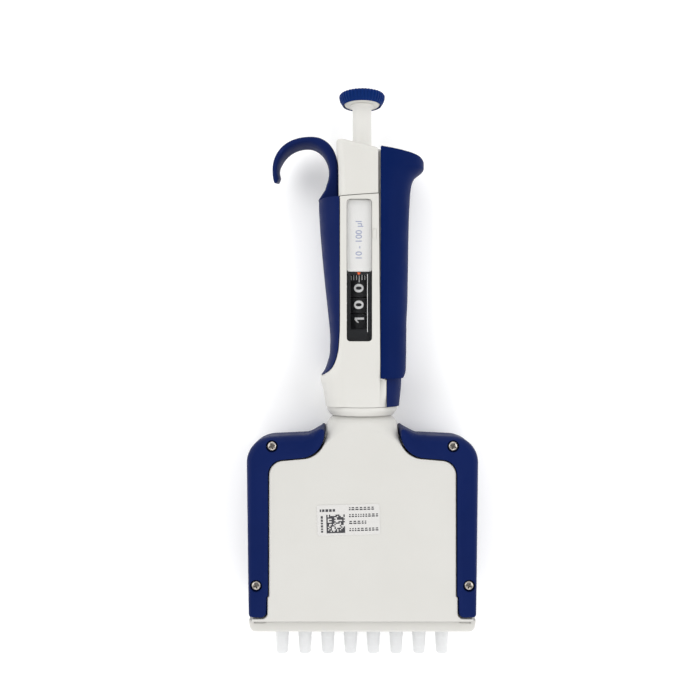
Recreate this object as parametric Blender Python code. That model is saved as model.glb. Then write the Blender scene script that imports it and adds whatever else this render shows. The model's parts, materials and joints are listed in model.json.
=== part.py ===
"""Eight-channel hand pipette lying on its back, built from its separate pieces.

Sizes are in millimetres and become metres where a mesh is made. X runs across the head, Y runs along
the pipette towards the push button, and Z points up from the surface that it lies on. The pipette's
axis is the line X = 0, Z = AXIS_Z.
"""

import math

import bmesh
import bpy

MM = 0.001
AXIS_Z = 14.0
HALF_THICK = 14.0
GAP = 0.3

# Channels
CHANNELS = 8
PITCH = 9.0
CHANNEL_X = [(i - (CHANNELS - 1) / 2) * PITCH for i in range(CHANNELS)]
NOZZLE_END_Y = -110.35
NOZZLE_TOP_Y = -92.1
FLANGE_Y = -93.4
PISTON_R = 1.75
PISTON_END_Y = -66.0
CYLINDER_R = 2.05

# Push button and plunger
ROD_R = 2.0
ROD_Y = (-38.5, 105.3)
SHOULDER_Y = (62.0, 63.5)
CAP_R = 9.1
CAP_Y = (105.85, 110.35)
CAP_RECESS_Y = 108.9
INSERT_R = 7.04
INSERT_Y = (105.9, 108.6)
SLEEVE_R = 3.75
SLEEVE_BORE_R = 2.3
SLEEVE_Y = (73.0, 105.6)
SPRING_SEAT_Y = (41.7, 43.3)

# Handle
SHELL_TOP_Y = 68.55
SHELL_BOTTOM_Y = -12.45
GRIP_TOP_Y = 68.55
GRIP_TIP_Y = -0.2
LEFT_CENTRE_X = -7.0
RIGHT_CENTRE_X = 5.0
ROUNDNESS = 2.4
CORE_HALF = 11.9
LINING_HALF = 12.3
OVER_GUIDE_HALF = 12.9
INNER_HALF = 10.4
BAND_RIGHT_X = 6.6
LOWER_BORE_R = 12.2
LINING_WALL = 1.1
GRIP_SKIN = 1.3
EJECTOR_LEFT_X = 6.9
EJECTOR_BOTTOM_Y = -1.25
EJECTOR_INNER_X = 15.8
GUIDE_LEFT_X = 9.25
GUIDE_TOP_Y = 8.0
GUIDE_BOTTOM_Y = -12.1
GUIDE_HALVES = (12.5, CORE_HALF + GAP)
LUG_Y = (58.0, 62.0)
PUSH_ROD_X = 10.2
PUSH_ROD_R = 1.2

# Window and counter
WINDOW = (-6.0, 12.95, 3.6, 66.55)
WINDOW_CORNER = 1.2
COUNTER_TOP_Y = 38.85
PANE_Z = (26.6, 27.7)
BEZEL_Z = (23.4, 26.2)
CARD_Z = (25.6, 26.2)
POINTER_Z = (26.25, 26.5)
WHEEL_R = 8.6
AXLE_R = 4.3
WHEELS = {"hundreds_wheel": (17.3, 23.1), "tens_wheel": (23.5, 29.3), "units_wheel": (29.7, 38.4)}

# Neck and head
COLLAR_Y = (-15.75, -12.75)
NECK_TOP_Y = -16.15
NECK_R = 13.6
HEAD_BOTTOM_Y = -93.55
COVER_FACE = 13.6
WALL = 2.0
FRAME_WALL = 2.2
SCREW_PLACES = {
    "upper_left_screw": (-34.3, -27.05),
    "upper_right_screw": (34.3, -27.05),
    "lower_left_screw": (-40.3, -79.85),
    "lower_right_screw": (40.3, -79.85),
}
SCREW_SEAT_Z = 26.4
SCREW_HEAD_R = 1.8
BLOCK_HALF_X = 36.0
BLOCK_Y = (-91.8, -60.0)
BLOCK_Z = (7.0, 21.0)
SEAL_Y = (-59.7, -58.1)
BAR_Y = (-41.0, -35.0)
BAR_HALF_X = 32.5
YOKE_Y = (-27.2, -25.4)
YOKE_ARM_X = (36.6, 38.4)
YOKE_BOTTOM_Y = -93.6
EJECTOR_BAR_Z = (3.0, 25.0)
EJECTOR_HOLE_R = 2.9
LABEL_CENTRE = (-5.3, -54.85)
LABEL_HALF = (11.9, 5.8)
LABEL_TURN = math.radians(1.5)


# ---------------------------------------------------------------- materials

def make_material(name, color, roughness, metallic=0.0):
    material = bpy.data.materials.new(name)
    material.use_nodes = True
    shader = material.node_tree.nodes["Principled BSDF"]
    shader.inputs["Base Color"].default_value = (*color, 1.0)
    shader.inputs["Roughness"].default_value = roughness
    shader.inputs["Metallic"].default_value = metallic
    return material


def make_materials():
    return {
        "white": make_material("white_plastic", (0.78, 0.77, 0.73), 0.45),
        "blue": make_material("blue_plastic", (0.012, 0.028, 0.18), 0.5),
        "black": make_material("black_plastic", (0.015, 0.016, 0.018), 0.4),
        "nozzle": make_material("nozzle_plastic", (0.82, 0.84, 0.86), 0.4),
        "clear": make_material("clear_plastic", (0.9, 0.92, 0.92), 0.1),
        "orange": make_material("orange_plastic", (0.8, 0.15, 0.03), 0.5),
        "paper": make_material("paper", (0.85, 0.85, 0.84), 0.8),
        "steel": make_material("steel", (0.6, 0.6, 0.6), 0.3, 1.0),
        "brass": make_material("brass", (0.7, 0.5, 0.2), 0.35, 1.0),
        "seal": make_material("seal_rubber", (0.05, 0.05, 0.05), 0.8),
    }


# ---------------------------------------------------------------- shape helpers

def add_solid(name, points, faces, material, sharp_angle=math.radians(35)):
    """A closed solid from points in millimetres, shaded smooth except at its sharp edges."""
    mesh = bpy.data.meshes.new(name)
    mesh.from_pydata([[value * MM for value in point] for point in points], [], faces)
    shape = bmesh.new()
    shape.from_mesh(mesh)
    bmesh.ops.remove_doubles(shape, verts=shape.verts, dist=1e-7)
    bmesh.ops.recalc_face_normals(shape, faces=shape.faces)
    shape.to_mesh(mesh)
    shape.free()
    mesh.materials.append(material)
    mesh.shade_smooth()
    mesh.set_sharp_from_angle(angle=sharp_angle)
    solid = bpy.data.objects.new(name, mesh)
    bpy.context.scene.collection.objects.link(solid)
    return solid


def loft(name, rings, material, looped=False):
    """Joins rings of equal length, capping both ends, or joining the last to the first if looped."""
    count = len(rings[0])
    points = [point for ring in rings for point in ring]
    spans = len(rings) if looped else len(rings) - 1
    faces = []
    for k in range(spans):
        here = k * count
        there = (k + 1) % len(rings) * count
        for i in range(count):
            j = (i + 1) % count
            faces.append((here + i, here + j, there + j, there + i))
    if not looped:
        faces.append(tuple(range(count)))
        faces.append(tuple(range(spans * count, (spans + 1) * count)))
    return add_solid(name, points, faces, material)


def circle(radius, y, x=0.0, segments=32):
    """A ring of points round the line along Y through (x, AXIS_Z)."""
    turns = [2 * math.pi * k / segments for k in range(segments)]
    return [(x + radius * math.cos(a), y, AXIS_Z + radius * math.sin(a)) for a in turns]


def turned(name, profile, material, x=0.0, segments=32, hollow=True):
    """Turns (radius, y) points about the axis, into a tube or, if it isn't hollow, into a solid."""
    rings = [circle(r, y, x, segments) for r, y in profile]
    return loft(name, rings, material, looped=hollow)


def rod(name, radius, y_low, y_high, material, x=0.0, segments=24):
    """A plain round bar along Y."""
    return loft(name, [circle(radius, y, x, segments) for y in (y_low, y_high)], material)


def tube(name, inner_r, outer_r, y_low, y_high, material, x=0.0, segments=32):
    profile = [(outer_r, y_low), (outer_r, y_high), (inner_r, y_high), (inner_r, y_low)]
    return turned(name, profile, material, x, segments)


def coil(name, radius, wire, y_low, y_high, turns, material, x=0.0):
    """A compression spring along Y."""
    sides = 5
    steps = 9
    count = turns * steps + 1
    rings = []
    for k in range(count):
        along = k / (count - 1)
        angle = 2 * math.pi * turns * along
        y = y_low + wire + (y_high - y_low - 2 * wire) * along
        ring = []
        for s in range(sides):
            around = 2 * math.pi * s / sides
            r = radius + wire * math.cos(around)
            ring.append((x + r * math.cos(angle), y + wire * math.sin(around), AXIS_Z + r * math.sin(angle)))
        rings.append(ring)
    return loft(name, rings, material)


def rounded(corners, steps=5):
    """An outline in plan from corners (x, y, radius), with an arc at each corner that has a radius."""
    outline = []
    for k, (x, y, radius) in enumerate(corners):
        before = corners[k - 1]
        after = corners[(k + 1) % len(corners)]
        into = math.hypot(x - before[0], y - before[1])
        out = math.hypot(after[0] - x, after[1] - y)
        way_in = ((before[0] - x) / into, (before[1] - y) / into)
        way_out = ((after[0] - x) / out, (after[1] - y) / out)
        cosine = way_in[0] * way_out[0] + way_in[1] * way_out[1]
        half = math.acos(max(-1.0, min(1.0, cosine))) / 2
        if radius <= 0 or half > math.pi / 2 - 1e-3:
            outline.append((x, y))
            continue
        reach = radius / math.tan(half)
        middle = (way_in[0] + way_out[0], way_in[1] + way_out[1])
        length = math.hypot(*middle)
        centre = [c + m / length * radius / math.sin(half) for c, m in zip((x, y), middle)]
        start = math.atan2(y + way_in[1] * reach - centre[1], x + way_in[0] * reach - centre[0])
        end = math.atan2(y + way_out[1] * reach - centre[1], x + way_out[0] * reach - centre[0])
        sweep = (end - start + math.pi) % (2 * math.pi) - math.pi
        for s in range(steps + 1):
            angle = start + sweep * s / steps
            outline.append((centre[0] + radius * math.cos(angle), centre[1] + radius * math.sin(angle)))
    return outline


def inward(outline, distance):
    """The outline moved inwards along the normals at its points."""
    area = sum(a[0] * b[1] - b[0] * a[1] for a, b in zip(outline, outline[1:] + outline[:1]))
    side = 1.0 if area > 0 else -1.0
    moved = []
    for k, (x, y) in enumerate(outline):
        before = outline[k - 1]
        after = outline[(k + 1) % len(outline)]
        along = (after[0] - before[0], after[1] - before[1])
        length = math.hypot(*along)
        moved.append((x - side * along[1] / length * distance, y + side * along[0] / length * distance))
    return moved


def plate(name, outline, z_low, z_high, material, edge=0.0):
    """A plan outline raised from z_low to z_high, with its long edges chamfered."""
    levels = [(z_low, edge), (z_low + edge, 0.0), (z_high - edge, 0.0), (z_high, edge)]
    if edge == 0.0:
        levels = [(z_low, 0.0), (z_high, 0.0)]
    rings = []
    for z, inset in levels:
        ring = inward(outline, inset) if inset else outline
        rings.append([(x, y, z) for x, y in ring])
    return loft(name, rings, material)


def box_outline(x_low, y_low, x_high, y_high, radius=0.0):
    sides = [(x_low, y_low), (x_high, y_low), (x_high, y_high), (x_low, y_high)]
    return rounded([(x, y, radius) for x, y in sides])


def block(name, low, high, material):
    return plate(name, box_outline(low[0], low[1], high[0], high[1]), low[2], high[2], material)


def mirror_x(outline):
    return [(-x, y) for x, y in outline]


def combine(solid, tool, operation="DIFFERENCE"):
    """Cuts a tool from a solid, or joins it on, and hides the tool."""
    modifier = solid.modifiers.new(operation.lower(), "BOOLEAN")
    modifier.operation = operation
    modifier.solver = "EXACT"
    modifier.object = tool
    tool.hide_render = True
    tool.display_type = "WIRE"


def between(table, y):
    """Reads a line through (y, value) points, given from high y to low y."""
    if y >= table[0][0]:
        return table[0][1]
    for (y_high, high), (y_low, low) in zip(table, table[1:]):
        if y >= y_low:
            share = (y - y_low) / (y_high - y_low)
            return low + (high - low) * share
    return table[-1][1]


# ---------------------------------------------------------------- handle sections

# The grip's outer edge, the seam between grip and white body, and the ejector button's outer edge
GRIP_EDGE = [(67.4, -17.0), (62.5, -16.9), (47, -15.7), (30, -14.1), (23, -13.3), (17, -12.7), (9.5, -12.65),
             (4.3, -13.7), (1.5, -14.9), (-0.35, -16.1), (-1.2, -16.3), (-6.0, -15.1), (-12.45, -14.25)]
SEAM_EDGE = [(17, -8.5), (13.5, -8.7), (10, -9.0), (7, -9.6), (4.3, -10.5), (2, -12.0), (0.6, -13.6),
             (-0.2, -15.2)]
CORE_RIGHT = [(24, 15.0), (12, 13.4), (-1.25, 13.4), (-12.45, 12.9)]
EJECTOR_EDGE = [(82, 24.3), (80.5, 24.3), (79.2, 23.1), (77.1, 20.8), (75, 19.75), (71, 18.95), (28.5, 17.9),
                (17, 17.45), (-0.6, 17.15), (-1.25, 16.9)]
GUIDE_EDGE = [(-1.25, 15.5), (-12.1, 14.6)]


def side_point(centre_x, edge_x, half, x):
    """Height above the axis of a rounded side, at a place x between its edge and its centre."""
    share = min(1.0, max(0.0, (x - centre_x) / (edge_x - centre_x)))
    return half * (1 - share ** ROUNDNESS) ** (1 / ROUNDNESS)


def side_arc(centre_x, edge_x, half, stop_x, count):
    """(x, height) points from the rounded side's edge up to where x is stop_x."""
    share = min(0.999, abs(stop_x - centre_x) / abs(edge_x - centre_x))
    stop = math.acos(share ** (ROUNDNESS / 2))
    points = []
    for k in range(count):
        angle = stop * k / (count - 1)
        reach = math.cos(angle) ** (2 / ROUNDNESS)
        rise = math.sin(angle) ** (2 / ROUNDNESS)
        points.append((centre_x + (edge_x - centre_x) * reach, half * rise))
    return points


def crescent(y, centre_x, outer_x, inner_x, stop_x, halves=(HALF_THICK, LINING_HALF), slope=0.0):
    """A skin's section: round its outer side, front to back, and back along its inner side."""
    count = 6
    outer = side_arc(centre_x, outer_x, halves[0], stop_x, count)
    inner = side_arc(centre_x, inner_x, halves[1], stop_x, count)
    ring = [(x, AXIS_Z - h) for x, h in reversed(outer[1:])]
    ring += [(x, AXIS_Z + h) for x, h in outer]
    ring += [(x, AXIS_Z + h) for x, h in reversed(inner)]
    ring += [(x, AXIS_Z - h) for x, h in inner[1:]]
    return [(x, y - slope * (x - stop_x), z) for x, z in ring]


def crown(x, y):
    """Height of the white band above the axis: nearly flat above, and round at the lower end."""
    share = min(1.0, max(0.0, (10.0 - y) / (10.0 - SHELL_BOTTOM_Y)))
    roundness = 0.12 + 0.88 * share * share
    return HALF_THICK - roundness * (HALF_THICK - math.sqrt(HALF_THICK ** 2 - x * x))


def shell_section(y):
    """One half of the white handle's section, as (x, height above the axis)."""
    edge = between(GRIP_EDGE, y)
    seam = between(SEAM_EDGE, y)
    under_grip = y > GRIP_TIP_Y - GAP
    core_left = edge + GRIP_SKIN + GAP if under_grip else edge
    core_half = CORE_HALF if under_grip else HALF_THICK
    if not under_grip:
        seam = edge + 1.0
    core_right = between(CORE_RIGHT, y)
    ring = side_arc(LEFT_CENTRE_X, core_left, core_half, max(seam, core_left + 0.3), 5)
    band_x = [seam, (seam + LEFT_CENTRE_X) / 2, LEFT_CENTRE_X, -2.0, 2.5, BAND_RIGHT_X]
    for x in band_x:
        top = crown(max(x, -8.5), y)
        if x < LEFT_CENTRE_X:
            top = min(top, side_point(LEFT_CENTRE_X, edge, HALF_THICK, x))
        ring.append((x, top))
    ring += reversed(side_arc(RIGHT_CENTRE_X, core_right, CORE_HALF, BAND_RIGHT_X, 5))
    return ring


def shell_lining(y):
    """The inner side of the same half section, from right to left."""
    count = 9
    share = min(1.0, max(0.0, (9.0 - y) / 9.2))
    left = -(between(GRIP_EDGE, y) + GRIP_SKIN + GAP) - LINING_WALL
    left = left + (LOWER_BORE_R - left) * share
    right = between(CORE_RIGHT, y) - 1.3
    right = right + (LOWER_BORE_R - right) * share
    high = INNER_HALF + (LOWER_BORE_R - INNER_HALF) * share
    ring = []
    for k in range(count):
        angle = math.pi * k / (count - 1)
        reach = right if math.cos(angle) > 0 else left
        power = 0.8 + 0.2 * share
        x = math.copysign(abs(math.cos(angle)) ** power, math.cos(angle)) * reach
        ring.append((x, high * math.sin(angle) ** power))
    return ring


SHELL_STATIONS = [SHELL_TOP_Y, 58.0, 47.0, 38.0, 30.0, 22.0, 17.0, 12.0, 9.0, 6.0, 3.0, 1.0, -0.3, -0.7, -1.6,
                  -5.0, -9.0, -12.45]


def handle_shell(name, side, materials):
    """Half of the white handle body; side is +1 for the front half and -1 for the rear half."""
    split = GAP / 2
    rings = []
    for y in SHELL_STATIONS:
        section = shell_section(y) + shell_lining(y)
        rings.append([(x, y, AXIS_Z + side * max(h, split)) for x, h in section])
    shell = loft(name, rings, materials["white"])
    slot = block(name + "_slot", (13.0, 50.5, AXIS_Z - 1.9), (16.5, 62.5, AXIS_Z + 1.9), materials["white"])
    combine(shell, slot)
    return shell


def pane_outline():
    """The clear window in plan, with the tab on its right side that a finger nail lifts it by."""
    x_low, y_low, x_high, y_high = WINDOW
    x_low += GAP
    y_low += GAP
    x_high -= GAP
    y_high -= GAP
    tab_x = 5.0
    tab_low = 51.8
    tab_high = 54.7
    corners = [(x_low, y_low, WINDOW_CORNER), (x_high, y_low, WINDOW_CORNER), (x_high, tab_low, 0.0),
               (tab_x, tab_low, 1.2), (tab_x, tab_high, 1.2), (x_high, tab_high, 0.0),
               (x_high, y_high, WINDOW_CORNER), (x_low, y_high, WINDOW_CORNER)]
    return rounded(corners, 3)


def build_handle(materials):
    white = materials["white"]
    front = handle_shell("handle_front_shell", 1, materials)
    combine(front, plate("window_opening", box_outline(*WINDOW, WINDOW_CORNER), 18.0, 30.0, white))
    combine(front, block("tab_recess", (3.0, 51.2, 26.3), (5.6, 55.3, 30.0), white))
    handle_shell("handle_rear_shell", -1, materials)

    grip_rings = []
    for y in [GRIP_TOP_Y, 62.5, 47.0, 30.0, 23.0, 17.0, 13.5, 10.0, 7.0, 4.3, 2.0, 0.6, GRIP_TIP_Y]:
        edge = between(GRIP_EDGE, y)
        seam = between(SEAM_EDGE, y) - GAP
        grip_rings.append(crescent(y, LEFT_CENTRE_X, edge, edge + GRIP_SKIN, seam))
    loft("front_grip", grip_rings, materials["blue"])

    guide_rings = []
    for y in (GUIDE_TOP_Y, EJECTOR_BOTTOM_Y, GUIDE_BOTTOM_Y):
        inner = between(CORE_RIGHT, y) + GAP
        guide_rings.append(crescent(y, RIGHT_CENTRE_X, between(GUIDE_EDGE, y), inner, GUIDE_LEFT_X,
                                    GUIDE_HALVES))
    loft("ejector_guide", guide_rings, materials["blue"])


# ---------------------------------------------------------------- top cover and hook

TOP_SLOPE = 0.247
TOP_AT_AXIS_Y = 87.7
COVER_BOTTOM_Y = 68.85
HOOK_BOTTOM_Y = 68.9
COVER_ROOF_Y = 84.3
COVER_BORE_R = 4.1


def cover_section(shrink):
    """The top cover's whole section: boxy on the left, and stepped back under the ejector button."""
    right = 15.0 - shrink
    left = -9.05 + shrink
    high = HALF_THICK - shrink
    core = CORE_HALF - shrink
    half = [(left, 0.0), (left, high * 0.55), (left + 0.6, high * 0.86), (left + 2.4, high - 0.1),
            (-2.0, high), (3.0, high), (5.5 - shrink, high - 0.1)]
    half += reversed(side_arc(RIGHT_CENTRE_X, right, core, 5.6 - shrink * 0.5, 6))
    ring = [(x, AXIS_Z + h) for x, h in half]
    ring += [(x, AXIS_Z - h) for x, h in reversed(half[1:-1])]
    return ring


def build_top_cover(materials):
    outer = cover_section(0.0)
    inner = cover_section(1.7)
    rings = [[(x, COVER_BOTTOM_Y, z) for x, z in outer]]
    rings.append([(x, TOP_AT_AXIS_Y - TOP_SLOPE * x - 0.8, z) for x, z in outer])
    top = [(x * 0.93, AXIS_Z + (z - AXIS_Z) * 0.93) for x, z in outer]
    rings.append([(x, TOP_AT_AXIS_Y - TOP_SLOPE * x, z) for x, z in top])
    bore = []
    for x, z in outer:
        angle = math.atan2(z - AXIS_Z, x)
        bore.append((COVER_BORE_R * math.cos(angle), COVER_BORE_R * math.sin(angle) + AXIS_Z))
    rings.append([(x, TOP_AT_AXIS_Y - TOP_SLOPE * x, z) for x, z in bore])
    rings.append([(x, COVER_ROOF_Y, z) for x, z in bore])
    rings.append([(x, COVER_ROOF_Y, z) for x, z in inner])
    rings.append([(x, COVER_BOTTOM_Y, z) for x, z in inner])
    loft("handle_top_cover", rings, materials["white"], looped=True)


HOOK_CENTRE_Y = 78.85
HOOK_Z = (7.5, 20.5)


def hook_point(centre_x, reach_left, reach_right, rise, degrees):
    """A point on one of the hook's edges in plan, each of which reaches further left than right."""
    across = math.cos(math.radians(degrees))
    reach = reach_right if across > 0 else reach_left
    return (centre_x + reach * across, HOOK_CENTRE_Y + rise * math.sin(math.radians(degrees)))


def build_hook(materials):
    """The finger hook: a plan outline whose inner side goes round the finger."""
    outline = [(-9.36, HOOK_BOTTOM_Y)]
    for k in range(20):
        outline.append(hook_point(-19.9, 15.0, 10.54, 13.4, 192 * k / 19))
    outline.append((-34.15, 74.7))
    outline.append((-32.95, 74.9))
    for k in range(19):
        outline.append(hook_point(-21.7, 10.9, 8.65, 10.65, 190 - (190 + 28) * k / 18))
    outline += [(-15.5, 70.4), (-16.95, HOOK_BOTTOM_Y)]
    plate("finger_hook", outline, *HOOK_Z, materials["blue"], edge=0.45)


# ---------------------------------------------------------------- window and counter

def build_counter(materials):
    plate("display_window", pane_outline(), *PANE_Z, materials["clear"], edge=0.2)
    x_low, y_low, x_high, y_high = WINDOW
    bezel_outline = box_outline(x_low + GAP, y_low + GAP, x_high - GAP, COUNTER_TOP_Y, 0.9)
    bezel = plate("counter_bezel", bezel_outline, *BEZEL_Z, materials["black"])
    opening = block("bezel_opening", (x_low + 0.9, 15.0, 20.0), (1.75, 38.0, 30.0), materials["black"])
    combine(bezel, opening)
    card_outline = box_outline(x_low + GAP, COUNTER_TOP_Y + GAP, x_high - GAP, y_high - GAP, 0.6)
    plate("label_card", card_outline, *CARD_Z, materials["paper"])
    pointer = [(-2.1, 38.75), (-1.4, 38.15), (-0.7, 38.75)]
    plate("volume_pointer", pointer, *POINTER_Z, materials["orange"])
    for name, (low, high) in WHEELS.items():
        tube(name, AXLE_R + GAP, WHEEL_R, low, high, materials["black"], segments=30)
    tube("counter_axle", 3.0, AXLE_R, 11.4, 41.4, materials["steel"])


# ---------------------------------------------------------------- plunger and volume setting

def build_plunger(materials):
    steel = materials["steel"]
    low, high = ROD_Y
    shoulder_low, shoulder_high = SHOULDER_Y
    profile = [(ROD_R, low), (ROD_R, shoulder_low), (4.6, shoulder_low), (4.6, shoulder_high),
               (ROD_R, shoulder_high), (ROD_R, high)]
    turned("plunger_rod", profile, steel, segments=24, hollow=False)
    low, high = CAP_Y
    cap = [(7.4, CAP_RECESS_Y), (7.4, low), (7.7, low), (8.4, low + 0.9), (8.85, low + 2.1),
           (CAP_R, high - 1.0), (8.6, high - 0.25), (6.0, high - 0.05), (3.0, high)]
    turned("button_cap", cap, materials["blue"], segments=36, hollow=False)
    rod("button_insert", INSERT_R, *INSERT_Y, materials["white"], segments=40)
    tube("button_sleeve", SLEEVE_BORE_R, SLEEVE_R, *SLEEVE_Y, materials["white"])
    tube("thread_sleeve", 5.0, 6.6, 70.0, 84.0, materials["brass"])
    tube("volume_nut", 4.05, 4.7, 79.0, 83.0, materials["brass"])
    coil("primary_spring", 3.8, 0.35, SPRING_SEAT_Y[1] + GAP, shoulder_low - GAP, 7, steel)
    coil("blowout_spring", 1.9, 0.3, -57.8, -51.3, 4, steel)


def build_inner_frame(materials):
    """The plates across the handle that carry the counter's axle and the springs."""
    tube("bearing_plate", 2.4, 9.0, 9.2, 11.1, materials["black"], segments=24)
    low, high = SPRING_SEAT_Y
    seat = block("spring_seat", (-9.8, low, AXIS_Z - 4.0), (12.9, high, AXIS_Z + 4.0), materials["black"])
    combine(seat, rod("seat_hole", ROD_R + 0.4, low - 3, high + 3, materials["black"]))
    combine(seat, rod("seat_rod_hole", PUSH_ROD_R + 0.3, low - 3, high + 3, materials["black"], x=PUSH_ROD_X))


# ---------------------------------------------------------------- tip ejector

def build_ejector(materials):
    rings = []
    for y in (EJECTOR_BOTTOM_Y, -0.6, 17.0, 28.5, 71.0, 75.0, 77.1, 79.2, 80.5, 81.5):
        edge = between(EJECTOR_EDGE, y)
        lining = OVER_GUIDE_HALF if y <= 17.0 else LINING_HALF
        rings.append(crescent(y, RIGHT_CENTRE_X, edge, EJECTOR_INNER_X, EJECTOR_LEFT_X,
                              (HALF_THICK, lining)))
    rings.append(crescent(86.6, RIGHT_CENTRE_X, 24.3, EJECTOR_INNER_X, EJECTOR_LEFT_X, slope=0.18))
    button = loft("ejector_button", rings, materials["blue"])
    low, high = LUG_Y
    lug = block("ejector_lug", (7.6, low, AXIS_Z - 1.5), (16.2, high, AXIS_Z + 1.5), materials["blue"])
    combine(button, lug, "UNION")
    combine(button, rod("lug_eye", 2.4, low, high, materials["blue"], x=PUSH_ROD_X), "UNION")
    combine(button, rod("lug_hole", PUSH_ROD_R + 0.3, low - 3, high + 3, materials["blue"], x=PUSH_ROD_X))
    profile = [(PUSH_ROD_R, -0.2), (PUSH_ROD_R, high + GAP), (2.0, high + GAP), (2.0, high + 1.6)]
    turned("ejector_push_rod", profile, materials["steel"], x=PUSH_ROD_X, segments=16, hollow=False)
    coil("ejector_spring", 1.85, 0.25, SPRING_SEAT_Y[1] + GAP, low - GAP, 8, materials["steel"], x=PUSH_ROD_X)

    ring = [(8.0, -25.1), (8.0, -1.9), (11.8, -1.9), (11.8, -0.5), (6.7, -0.5), (6.7, -25.1)]
    turned("ejector_ring", ring, materials["nozzle"])

    arm_in, arm_out = YOKE_ARM_X
    yoke_low, yoke_high = YOKE_Y
    half = [(arm_in, yoke_low, 4.2), (arm_in, YOKE_BOTTOM_Y, 0.0), (arm_out, YOKE_BOTTOM_Y, 0.0),
            (arm_out, yoke_high, 6.0)]
    outline = rounded([(-x, y, r) for x, y, r in reversed(half)] + half, 4)
    yoke = plate("ejector_yoke", outline, AXIS_Z - 5.0, AXIS_Z + 5.0, materials["nozzle"])
    combine(yoke, rod("yoke_hole", 2.8, -30.0, -20.0, materials["nozzle"]))


# The bar's long half and its edges' inset, at places down from its top face
EJECTOR_BAR_STATIONS = [(-93.9, 43.3, 0.4), (-94.3, 43.5, 0.0), (-96.4, 43.3, 0.0), (-97.6, 42.6, 0.3),
                        (-98.4, 41.5, 0.8), (-98.7, 40.3, 1.2)]


def build_ejector_bar(materials):
    """The bar that pushes the tips off, with rounded lower ends and a hole for each nozzle."""
    white = materials["white"]
    z_low, z_high = EJECTOR_BAR_Z
    rings = []
    for y, half, inset in EJECTOR_BAR_STATIONS:
        section = box_outline(-half, z_low + inset, half, z_high - inset, 1.5)
        rings.append([(x, y, z) for x, z in section])
    bar = loft("tip_ejector_bar", rings, white)
    for k, x in enumerate(CHANNEL_X):
        combine(bar, rod(f"ejector_hole_{k + 1}", EJECTOR_HOLE_R, -102.0, -90.0, white, x, 14))


# ---------------------------------------------------------------- neck and head

def build_neck(materials):
    low, high = COLLAR_Y
    collar = [(9.9, low), (12.5, low), (13.2, low + 0.7), (13.5, low + 1.6), (13.5, high), (11.9, high),
              (11.9, -11.1), (9.9, -11.1)]
    turned("swivel_collar", collar, materials["white"], segments=36)
    neck = [(9.6, -19.6), (9.6, -10.8), (11.5, -10.8), (11.5, -9.3), (8.3, -9.3), (8.3, -21.5),
            (11.0, -21.5), (11.0, -19.6)]
    turned("neck_tube", neck, materials["white"])


def cover_outline():
    """The white cover in plan: the neck above, and straight sides between the blue frames."""
    half = [(9.0, -20.0, 0.0), (13.65, -22.0, 0.0), (13.75, -31.3, 9.5), (35.0, -33.1, 4.2),
            (35.05, -84.0, 0.0), (35.6, -84.4, 0.0), (35.6, -92.5, 0.0), (42.0, -92.5, 0.0),
            (42.0, HEAD_BOTTOM_Y, 0.0)]
    left = [(-x, y, r) for x, y, r in half]
    return rounded(half + left[::-1], 6)


def head_cover(name, side, materials):
    """A head cover: a flat plate with half of the round neck on it."""
    white = materials["white"]
    face = AXIS_Z + side * COVER_FACE
    under = AXIS_Z + side * (COVER_FACE - WALL)
    cover = plate(name, cover_outline(), min(face, under), max(face, under), white)
    profile = [(9.95, NECK_TOP_Y), (11.3, NECK_TOP_Y), (12.5, NECK_TOP_Y - 0.8), (13.3, NECK_TOP_Y - 2.0),
               (NECK_R, NECK_TOP_Y - 3.2), (NECK_R, -22.6), (NECK_R - WALL, -22.6),
               (NECK_R - WALL, NECK_TOP_Y - 3.0), (9.95, NECK_TOP_Y - 1.6)]
    steps = 14
    rings = []
    for k in range(steps + 1):
        angle = math.pi * k / steps
        ring = []
        for r, y in profile:
            lift = max(r * math.sin(angle), GAP / 2)
            ring.append((r * math.cos(angle), y, AXIS_Z + side * lift))
        rings.append(ring)
    neck = loft(name + "_neck", rings, white)
    combine(cover, neck, "UNION")
    return cover


def frame_outline():
    """The right side frame in plan, over its whole width."""
    corners = [(14.3, -19.6, 1.0), (20.8, -22.9, 6.0), (44.35, -23.5, 11.0), (43.5, -92.25, 1.4),
               (35.9, -92.2, 3.5), (35.9, -84.2, 0.0), (35.35, -83.8, 0.0), (35.3, -32.8, 4.5),
               (14.05, -31.0, 9.5)]
    return rounded(corners, 6)


def frame_cavity():
    corners = [(16.5, -25.1, 0.0), (42.1, -25.5, 9.0), (41.4, -90.1, 0.0), (30.0, -90.1, 0.0),
               (30.0, -40.0, 0.0), (10.0, -40.0, 0.0), (10.0, -25.1, 0.0)]
    return rounded(corners, 6)


def side_frame(name, mirrored, materials):
    """A blue C-section frame that wraps the head's side, hollow and open towards the middle."""
    blue = materials["blue"]
    turn = mirror_x if mirrored else list
    outline = frame_outline()
    levels = [(0.0, 2.6), (0.9, 1.0), (2.8, 0.0)]
    levels += [(2 * AXIS_Z - z, inset) for z, inset in reversed(levels)]
    rings = []
    for z, inset in levels:
        ring = []
        moved = inward(outline, inset) if inset else outline
        for old, new in zip(outline, moved):
            outer_side = old[0] > 40.0 or old[1] > -26.5 and old[0] > 15.5
            x, y = new if outer_side else old
            ring.append((x, y))
        rings.append([(x, y, z) for x, y in turn(ring)])
    frame = loft(name, rings, blue)
    cavity = plate(name + "_cavity", turn(frame_cavity()), FRAME_WALL, 2 * AXIS_Z - FRAME_WALL, blue)
    combine(frame, cavity)
    side = -1 if mirrored else 1
    slot_x = sorted((side * 36.2, side * 38.8))
    slot = block(name + "_slot", (slot_x[0], -96.0, AXIS_Z - 5.4), (slot_x[1], -88.0, AXIS_Z + 5.4), blue)
    combine(frame, slot)
    return frame


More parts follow.
